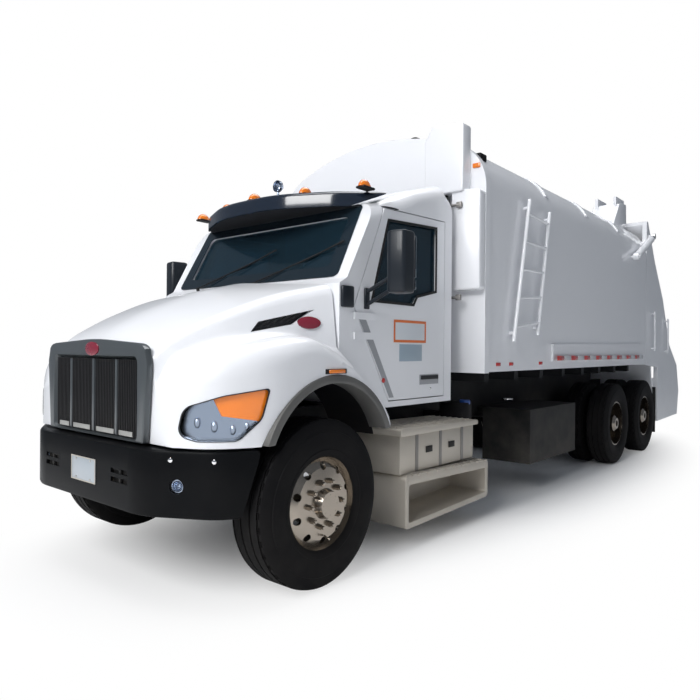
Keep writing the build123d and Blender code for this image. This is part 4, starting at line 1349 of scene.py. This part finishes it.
def fitHoodSides():
    start = ventShape["outline"][0][0]
    places = [spot(s, ventShape["skin"] + ventShape["flare"] * (s - start), z)
              for s, z in ventShape["outline"]]
    panel = platePiece(places, (0.0, -0.006, 0.0))
    finishPiece(bothSides(panel), "ventPanels", "hood", "tank_black", "wire_mesh")
    slats = []
    for count in range(ventShape["slats"]):
        share = (count + 0.7) / (ventShape["slats"] + 0.4)
        low = places[0].lerp(places[3], share)
        high = places[1].lerp(places[2], share)
        slats.append(rodPiece(low + Vector((0.0, 0.004, 0.0)), high + Vector((-0.03, 0.004, 0.0)),
                              0.007, 0.001, 8))
    finishPiece(bothSides(joinPieces(slats)), "ventSlats", "hood", "tank_black", "cab_trim")
    skin = surfaceSpot("hood_shell", spot(*ovalShape["from"]), (0.0, -1.0, 0.0))
    oval = discPiece(36, 1.0, (math.pi / 2, 0.0, 0.0), ovalShape["size"])
    turn = Matrix.Rotation(math.radians(ovalShape["turn"]), 4, "Z")
    tilt = Matrix.Rotation(math.radians(ovalShape["tilt"]), 4, "X")
    oval.data.transform(Matrix.Translation(skin) @ turn @ tilt)
    roundEdges(oval, 0.003, angle=50.0)
    finishPiece(bothSides(oval), "hoodOvals", "hood", "grille_grey", "oval_enamel")
    skin = surfaceSpot("hood_shell", spot(*markerShape["from"]), (0.0, -1.0, 0.0))
    base, cap = [blockPiece(*[spot(s, skin.y + out, z) for s, out, z in markerShape[part]], edge)
                 for part, edge in (("base", 0.004), ("cap", 0.007))]
    finishPiece(bothSides(base), "markerBases", "hood", "tank_black", "rubber_trim")
    finishPiece(bothSides(cap), "markerLenses", "hood", "lamp_clear", "amber_lens")


fitHoodSides()
print("hood sides fitted")


# Roof lamps, the work lamp and what stands on the body's front
roofShape = {
    "lamps": (-0.95, -0.46, 0.0, 0.46, 0.95),
    "lampAt": 1.40,
    "sweep": 0.22,
    "base": ((-0.075, -0.040, -0.004), (0.055, 0.040, 0.014)),
    "lens": (0.066, 0.038, 0.066),
    "lensFoot": 0.012,
    "workLampAt": (1.46, 0.20, 3.2),
    "stalk": 0.075,
    "bowlHeight": 0.105,
    "bowl": ((0.000, 0.046), (0.014, 0.046), (0.014, 0.040), (-0.008, 0.036), (-0.030, 0.014),
             (-0.034, 0.001), (-0.042, 0.001), (-0.038, 0.022), (-0.012, 0.044)),
    "domeAt": (3.05, 0.41, 4.5),
    "domeSink": 0.012,
    "dome": ((0.0, 0.001), (0.0, 0.078), (0.016, 0.078), (0.030, 0.070), (0.052, 0.050),
             (0.066, 0.024), (0.070, 0.001)),
    "relayAt": (3.05, 1.100, 4.5),
    "relay": ((-0.070, -0.035, -0.030), (0.050, 0.035, 0.034)),
    "marker": ((2.929, 1.105, -0.125), (2.908, 1.175, -0.085)),
}
down = (0.0, 0.0, -1.0)


def fitRoof():
    shape = roofShape
    bases, lenses = [], []
    for y in shape["lamps"]:
        top = surfaceSpot("sun_visor", spot(shape["lampAt"] + shape["sweep"] * abs(y), y, 3.2),
                          down)
        if top.z > 3.0:
            top.z = visorShape["heights"][1]
        bases.append(blockOn(top, *shape["base"], 0.006))
        lens = ballPiece(top, 12, 1.0, shape["lens"])
        sliceActive(top + Vector((0.0, 0.0, shape["lensFoot"])), down)
        lenses.append(lens)
    finishPiece(joinPieces(bases), "roofLampBases", "chassis", "visor_tint", "rubber_trim")
    finishPiece(joinPieces(lenses), "roofLampLenses", "chassis", "lamp_clear", "amber_lens")
    foot = surfaceSpot("sun_visor", spot(*shape["workLampAt"]), down)
    stalk = rodPiece(foot, foot + Vector((0.0, 0.0, shape["stalk"])), 0.010, 0.001, 12)
    bowl = turnedPiece(shape["bowl"], 28)
    bowl.data.transform(Matrix.Translation(foot + Vector((0.0, 0.0, shape["bowlHeight"])))
                        @ Matrix.Rotation(-math.pi / 2, 4, "Z"))
    finishPiece(joinPieces([stalk, bowl]), "workLamp", "chassis", "rim_aluminium", "lamp_reflector")
    top = surfaceSpot("body_shell", spot(*shape["domeAt"]), down)
    dome = standPiece(shape["dome"], top + Vector((0.0, 0.0, -shape["domeSink"])), 28)
    finishPiece(dome, "bodyDome", "chassis", "tank_black")
    corner = surfaceSpot("body_shell", spot(*shape["relayAt"]), down)
    box = blockOn(corner, *shape["relay"], 0.012)
    marker = blockPiece(*[spot(s, y, corner.z + drop) for s, y, drop in shape["marker"]], 0.006)
    finishPiece(box, "bodyRelay", "chassis", "tank_black")
    finishPiece(marker, "frontMarker", "chassis", "lamp_clear", "amber_lens")


fitRoof()
print("roof fitted")


# Windows, wipers and cowl
windowCorners = ((1.600, 1.830), (1.800, 2.460), (2.480, 2.500), (2.480, 1.960), (2.200, 1.900),
                 (2.150, 1.830))
screenShape = {"low": (1.340, 1.985), "high": (1.660, 2.560), "outer": (0.925, 0.905),
               "inner": 0.812, "from": 0.015, "to": 1.000, "openFrom": 0.16, "openTo": 0.84,
               "proud": 0.003, "wall": 0.004}


def screenSpot(share, y, proud):
    # A place on the leaning front of the cab.
    low, high = screenShape["low"], screenShape["high"]
    s = low[0] + (high[0] - low[0]) * share
    z = low[1] + (high[1] - low[1]) * share
    length = math.hypot(high[0] - low[0], high[1] - low[1])
    return spot(s, y, z) + Vector(((high[1] - low[1]) / length, 0.0,
                                   (high[0] - low[0]) / length)) * proud


def screenSheet(corners, proud, wall):
    start = screenSpot(0.0, 0.0, 0.0)
    push = screenSpot(0.0, 0.0, wall) - start
    return platePiece([screenSpot(share, y, proud) for share, y in corners], push)


def fitScreenBand():
    shape = screenShape
    wide = [(shape["from"], -shape["outer"][0]), (shape["to"], -shape["outer"][1]),
            (shape["to"], shape["outer"][1]), (shape["from"], shape["outer"][0])]
    band = screenSheet(roundCorners(wide, 0.060), shape["proud"], shape["wall"])
    hole = [(shape["openFrom"], -shape["inner"]), (shape["openTo"], -shape["inner"]),
            (shape["openTo"], shape["inner"]), (shape["openFrom"], shape["inner"])]
    band = cutPiece(band, screenSheet(roundCorners(hole, 0.050), -0.02, 0.06))
    finishPiece(band, "screenBand", "chassis", "tinted_glass", "glass_band")


fitScreenBand()


skinAt = 1.0185
wiperShape = {
    "feet": (0.08, -0.62),
    "footAt": 1.318,
    "tip": (1.462, 0.56, 2.185),
    "blade": ((0.012, -0.30, -0.090), (-0.015, 0.24, 0.075)),
}
cowlCover = ((1.268, 1.018, 1.775), (1.392, 1.046, 1.925))


def fitWindows():
    seal = ringPiece([spot(s, skinAt, z) for s, z in windowCorners], 0.020, (0.0, 0.006, 0.0))
    right = copyPiece(seal, otherSide)
    finishPiece(seal, "windowSeal_left", "door_left", "cab_trim", "rubber_trim")
    finishPiece(right, "windowSeal_right", "door_right", "cab_trim", "rubber_trim")
    arms = []
    for y in wiperShape["feet"]:
        low = surfaceSpot("cab_shell", spot(wiperShape["footAt"], y, 3.0), down)
        tipAt, across, height = wiperShape["tip"]
        skin = surfaceSpot("cab_glass", spot(tipAt, y + across, height) + Vector((0.6, 0.0, 0.26)),
                           (-0.917, 0.0, -0.4))
        rest = skin + Vector((0.016, 0.0, 0.010))
        arms.append(rodPiece(low + Vector((0.0, 0.0, -0.01)), low + Vector((0.012, 0.0, 0.028)),
                             0.014, 0.003, 14))
        arms.append(rodPiece(low + Vector((0.010, 0.0, 0.020)), rest, 0.006, 0.001, 8))
        start, end = [rest + Vector(place) for place in wiperShape["blade"]]
        arms.append(rodPiece(start, end, 0.007, 0.001, 8))
    finishPiece(joinPieces(arms), "wipers", "chassis", "cab_trim", "rubber_trim")
    finishPiece(bothSides(spotBlock(cowlCover, 0.012)), "cowlCovers", "chassis", "mirror_black")


fitWindows()


# Doors: places are the left door's, and the right door takes its mirror image.
doorShape = {
    "placard": ((1.890, 1.0195, 1.550), (2.320, 1.0215, 1.712)),
    "placardEdge": ((1.885, 1.545), (2.325, 1.545), (2.325, 1.717), (1.885, 1.717)),
    "patch": ((1.960, 1.0195, 1.400), (2.270, 1.0212, 1.532)),
    # Grey strip along the door's front edge: painted shade of the seam there.
    "strip": ((1.452, 1.735), (1.530, 1.735), (1.893, 1.130), (1.836, 1.130)),
    # Flat grey sheet behind the lever: painted shade of the lever's recess.
    "recess": ((2.240, 1.0195, 1.212), (2.520, 1.0210, 1.292)),
    "lever": ((2.255, 1.0210, 1.252), (2.505, 1.0330, 1.284)),
    "lock": (2.400, 1.175),
    "reflector": (1.760, 1.262),
    "glass": ((1.6515, 1.240, 1.985), (1.6575, 1.372, 2.272)),
    "lowGlass": ((1.6515, 1.240, 1.905), (1.6575, 1.372, 1.968)),
    "trim": ((1.880, 0.955, 1.180), (2.540, 0.9705, 1.780)),
    "rest": ((1.960, 0.925, 1.560), (2.400, 0.958, 1.610)),
}


def doorBlock(label, edge):
    return spotBlock(doorShape[label], edge)


def doorButton(label, proud, radius, edge):
    s, z = doorShape[label]
    return rodPiece(spot(s, skinAt, z), spot(s, skinAt + proud, z), radius, edge, 20)


def placeOnDoor(name, piece, label, slotName, finish=None):
    if name == "right":
        settle(piece)
        piece.data.transform(otherSide)
        piece.data.flip_normals()
    finishPiece(piece, label + "_" + name, "door_" + name, slotName, finish)


def fitDoors():
    for name in ("left", "right"):
        placeOnDoor(name, doorBlock("placard", 0.0006), "placard", "white_paint", "placard_white")
        edge = ringPiece([spot(s, 1.0212, z) for s, z in doorShape["placardEdge"]], 0.020,
                         (0.0, 0.0012, 0.0))
        placeOnDoor(name, edge, "placardEdge", "white_paint", "placard_orange")
        placeOnDoor(name, doorBlock("patch", 0.0005), "doorPatch", "white_paint", "patch_grey")
        # A flat grey strip stands in for the shade along the door's front edge.
        strip = platePiece([spot(s, 1.0195, z) for s, z in doorShape["strip"]], (0.0, 0.0016, 0.0))
        placeOnDoor(name, strip, "doorEdgeShade", "white_paint", "painted_shade_grey")
        # The grey sheet behind the lever is painted shade, not a cut recess.
        placeOnDoor(name, doorBlock("recess", 0.0005), "leverRecessShade", "cab_trim", "painted_shade_grey")
        placeOnDoor(name, doorBlock("lever", 0.005), "doorLever", "cab_trim")
        placeOnDoor(name, doorButton("lock", 0.006, 0.010, 0.002), "doorLock", "rod_chrome")
        marker = doorButton("reflector", 0.008, 0.019, 0.004)
        placeOnDoor(name, marker, "doorReflector", "lamp_clear", "red_lens")
        glass = joinPieces([doorBlock("glass", 0.002), doorBlock("lowGlass", 0.002)])
        placeOnDoor(name, glass, "mirrorGlass", "rod_chrome", "mirror_glass")
        trim = joinPieces([doorBlock("trim", 0.012), doorBlock("rest", 0.012)])
        placeOnDoor(name, trim, "doorTrim", "cab_trim")


fitDoors()
print("cab fitted")


# Steps, straps and tanks
treadShape = {
    # Both ends, height, fall along the step and inner side.
    "steps": ((1.85, 2.93, 0.9045, 0.0185, 0.70), (1.92, 3.08, 0.5575, 0.0345, 0.80)),
    "rows": 7,
    "rowStep": 0.058,
    "columns": 9,
    "width": 0.40,
    "straps": (2.06, 2.40, 2.74),
    "latches": (2.23, 2.57),
    "cap": ((0.0, 0.001), (0.0, 0.050), (0.006, 0.052), (0.034, 0.050), (0.040, 0.044),
            (0.042, 0.001)),
    "capAt": (3.25, 0.86, 0.984),
    "lids": ((4.35, 0.76, 0.949, 0.062), (1.88, -0.93, 0.959, 0.052)),
}


def fitSteps():
    shape = treadShape
    treads, straps, latches, lids = [], [], [], []
    for low, high, top, drop, inner in shape["steps"]:
        for row in range(shape["rows"]):
            y = inner + 0.030 + row * shape["rowStep"]
            start, end = spot(low, y, top + 0.002), spot(high, y, top + 0.002 - drop)
            treads.append(rodPiece(start, end, 0.006, 0.0, 8))
        for column in range(shape["columns"]):
            s = low + (column + 0.5) * (high - low) / shape["columns"]
            z = top + 0.001 - drop * (s - low) / (high - low)
            treads.append(rodPiece(spot(s, inner, z), spot(s, inner + shape["width"], z), 0.005,
                                   0.0, 8))
    finishPiece(joinPieces(treads), "stepTreads", "chassis", "bright_aluminium")
    for s in shape["straps"]:
        straps.append(blockOn(spot(s, 1.1195, 0.565), (0.020, 0.0, 0.0), (-0.020, 0.004, 0.280),
                              0.001))
    for s in shape["latches"]:
        latches.append(blockOn(spot(s, 1.1195, 0.690), (0.045, 0.0, 0.0), (-0.045, 0.008, 0.050),
                               0.003))
    finishPiece(joinPieces(straps), "batteryStraps", "chassis", "bright_aluminium", "worn_steel")
    finishPiece(joinPieces(latches), "batteryLatches", "chassis", "tank_black", "rubber_trim")
    cap = standPiece(shape["cap"], spot(*shape["capAt"]), 24)
    finishPiece(cap, "fluidCap", "chassis", "tank_black", "cap_blue")
    for s, y, z, radius in shape["lids"]:
        profile = ((0.0, 0.001), (0.0, radius - 0.004), (0.006, radius), (0.020, radius),
                   (0.026, radius - 0.008), (0.028, 0.001))
        lids.append(standPiece(profile, spot(s, y, z), 24))
    finishPiece(joinPieces(lids), "tankLids", "chassis", "bright_aluminium", "rod_chrome")


fitSteps()
print("steps fitted")


# Body sides, reflectors and mud flaps
bodyShape = {
    "stripFrom": 4.43,
    "stripTo": 7.63,
    "stripCount": 16,
    "stripGap": 0.006,
    "lamps": (3.20, 3.46, 4.13),
    "lamp": ((-0.040, 1.2185, 1.349), (0.040, 1.2285, 1.381)),
    "tape": (1.2745, 1.2762, 1.388, 1.438),
    "hooks": (1.98, 2.78),
    "hook": ((2.790, 1.015, -0.060), (2.815, 1.065, -0.010)),
    "hookPin": ((2.800, 1.040, -0.035), (2.800, 0.900, -0.035)),
    "flap": ((8.598, 0.640, 0.230), (8.606, 1.205, 0.900)),
    "flapArm": ((8.585, 0.400, 0.895), (8.612, 1.205, 0.935)),
}


def fitBody():
    shape = bodyShape
    reds, whites = [], []
    step = (shape["stripTo"] - shape["stripFrom"]) / shape["stripCount"]
    near, far, low, high = shape["tape"]
    for count in range(shape["stripCount"]):
        s = shape["stripFrom"] + count * step
        tape = spotBlock(((s, near, low), (s + step - shape["stripGap"], far, high)), 0.0004)
        (reds if count % 2 == 0 else whites).append(tape)
    finishPiece(bothSides(joinPieces(reds)), "tapeRed", "chassis", "lamp_clear", "red_lens")
    finishPiece(bothSides(joinPieces(whites)), "tapeSilver", "chassis", "lamp_clear", "tape_silver")
    lamps = [spotBlock([(at + s, y, z) for s, y, z in shape["lamp"]], 0.004)
             for at in shape["lamps"]]
    finishPiece(bothSides(joinPieces(lamps)), "sideMarkers", "chassis", "lamp_clear", "red_lens")
    hooks = []
    for height in shape["hooks"]:
        hooks.append(spotBlock([(s, y, height + z) for s, y, z in shape["hook"]], 0.006))
        start, end = [spot(s, y, height + z) for s, y, z in shape["hookPin"]]
        hooks.append(rodPiece(start, end, 0.012, 0.002, 12))
    finishPiece(joinPieces(hooks), "towerHooks", "chassis", "white_paint", "worn_steel")
    flaps, arm = spotBlock(shape["flap"], 0.003), spotBlock(shape["flapArm"], 0.005)
    finishPiece(bothSides(flaps), "mudFlaps", "chassis", "tank_black", "rubber_trim")
    finishPiece(bothSides(arm), "mudFlapArms", "chassis", "frame_black")


fitBody()


# Rear lamps and grab rails
tailShape = {
    "lampSide": 1.190,
    "turnLamp": 0.60,
    "tailLamp": 0.74,
    "lowLamp": 0.46,
    "lowBox": ((0.004, -0.026, -0.04), (-0.004, 0.026, 0.04)),
    "rails": ((9.10, 1.46, 2.02), (8.30, 1.50, 2.10)),
    "railSide": 1.262,
    "topLamps": (-0.30, 0.0, 0.30),
    "topBox": ((-0.030, -0.060, -0.012), (0.020, 0.060, 0.022)),
}


def tailSkin(z):
    return surfaceSpot("tailgate_shell", spot(11.0, tailShape["lampSide"], z), (1.0, 0.0, 0.0))


def tailDisc(skin, inside, proud, radius, edge):
    return rodPiece(skin + Vector((inside, 0.0, 0.0)), skin - Vector((proud, 0.0, 0.0)), radius,
                    edge, 24)


def fitTail():
    shape = tailShape
    skins = [tailSkin(shape["turnLamp"]), tailSkin(shape["tailLamp"])]
    bases = [tailDisc(skin, 0.02, 0.004, 0.029, 0.002) for skin in skins]
    clear, lens = [tailDisc(skin, 0.01, 0.009, 0.024, 0.005) for skin in skins]
    low = blockOn(tailSkin(shape["lowLamp"]), *shape["lowBox"], 0.003)
    finishPiece(bothSides(joinPieces(bases)), "tailLampBases", "tailgate", "tank_black",
                "rubber_trim")
    finishPiece(bothSides(lens), "tailLamps", "tailgate", "lamp_clear", "red_lens")
    finishPiece(bothSides(joinPieces([clear, low])), "turnLamps", "tailgate", "lamp_clear",
                "amber_lens")
    rails = []
    side = shape["railSide"]
    for s, low, high in shape["rails"]:
        rails.append(rodPiece(spot(s, side, low), spot(s, side, high), 0.014, 0.002, 14))
        for z in (low + 0.04, high - 0.04):
            rails.append(rodPiece(spot(s, 1.215, z), spot(s, side, z), 0.011, 0.0, 12))
    finishPiece(bothSides(joinPieces(rails)), "grabRails", "tailgate", "white_paint")
    tops = []
    for y in shape["topLamps"]:
        skin = surfaceSpot("tailgate_shell", spot(8.25, y, 4.5), down)
        tops.append(blockOn(skin, *shape["topBox"], 0.008))
    finishPiece(joinPieces(tops), "topLamps", "tailgate", "lamp_clear", "red_lens")


fitTail()
print("body fitted")


# Sky, lamps and floor
def whiteRays(tree):
    # Seen straight or through glass the backdrop is plain white.
    path = addNode(tree, "ShaderNodeLightPath").outputs
    return mathNode(tree, "MAXIMUM", path["Is Camera Ray"], path["Is Transmission Ray"])


skyLook = {"ambient": (0.80, 0.88, 1.0), "strength": 0.22}


def makeWorld():
    world = bpy.data.worlds.new("studioSky")
    bpy.context.scene.world = world
    world.use_nodes = True
    tree = world.node_tree
    ambient = tree.nodes["Background"]
    feed(tree, ambient, {"Color": (*skyLook["ambient"], 1.0), "Strength": skyLook["strength"]})
    white = addNode(tree, "ShaderNodeBackground", {"Color": (1.0, 1.0, 1.0, 1.0)})
    mix = addNode(tree, "ShaderNodeMixShader",
                  {0: whiteRays(tree), 1: ambient.outputs[0], 2: white.outputs[0]})
    feed(tree, tree.nodes["World Output"], {"Surface": mix.outputs[0]})


studioLamps = {
    "frontSoftbox": ((12.0, 1.6, 7.2), (2.5, 0.0, 1.2), (5.0, 4.5), 900.0, (1.0, 1.0, 1.0)),
    "topSoftbox": ((1.5, 0.0, 10.5), (1.5, 0.0, 2.0), (12.0, 4.0), 700.0, (1.0, 1.0, 1.0)),
    "sideFill": ((4.0, 11.0, 3.5), (1.0, 0.0, 1.5), (8.0, 5.0), 12.0, (0.92, 0.95, 1.0)),
    "farFill": ((-9.0, -9.0, 5.0), (-1.0, 0.0, 1.5), (6.0, 4.0), 120.0, (0.94, 0.96, 1.0)),
}


def addLamp(name, place, target, size, power, color):
    data = bpy.data.lights.new(name, "AREA")
    data.shape = "RECTANGLE"
    data.size, data.size_y = size
    data.energy = power
    data.color = color
    lamp = bpy.data.objects.new(name, data)
    bpy.context.scene.collection.objects.link(lamp)
    lamp.location = place
    lamp.rotation_euler = (Vector(target) - Vector(place)).to_track_quat("-Z", "Y").to_euler()


makeWorld()
for lampName, values in studioLamps.items():
    addLamp(lampName, *values)


def makeFloor():
    # Pale near the truck, where it takes the shadow, and white further out.
    clearSelection()
    bpy.ops.mesh.primitive_plane_add(size=120.0, location=(0.0, 0.0, -0.002))
    floor = bpy.context.object
    floor.name = "studioFloor"
    settle(floor)
    material, tree, shader = startMaterial("studioFloor")
    feed(tree, shader, {"Base Color": (0.95, 0.95, 0.95, 1.0), "Roughness": 0.9})
    glow = addNode(tree, "ShaderNodeEmission", {"Color": (1.0, 1.0, 1.0, 1.0)})
    place = addNode(tree, "ShaderNodeTexCoord").outputs["Object"]
    squeeze = addNode(tree, "ShaderNodeMapping", {"Vector": place, "Scale": (0.155, 0.42, 1.0)})
    reach = addNode(tree, "ShaderNodeVectorMath", {0: squeeze.outputs["Vector"]},
                    operation="LENGTH")
    fade = addNode(tree, "ShaderNodeMapRange",
                   {"Value": reach.outputs["Value"], "From Min": 0.50, "From Max": 0.98},
                   interpolation_type="SMOOTHSTEP")
    share = mathNode(tree, "MULTIPLY", fade.outputs["Result"], whiteRays(tree))
    mix = addNode(tree, "ShaderNodeMixShader", {0: share, 1: shader.outputs[0], 2: glow.outputs[0]})
    feed(tree, tree.nodes["Material Output"], {"Surface": mix.outputs[0]})
    floor.data.materials.append(material)


makeFloor()
print("stage ready")
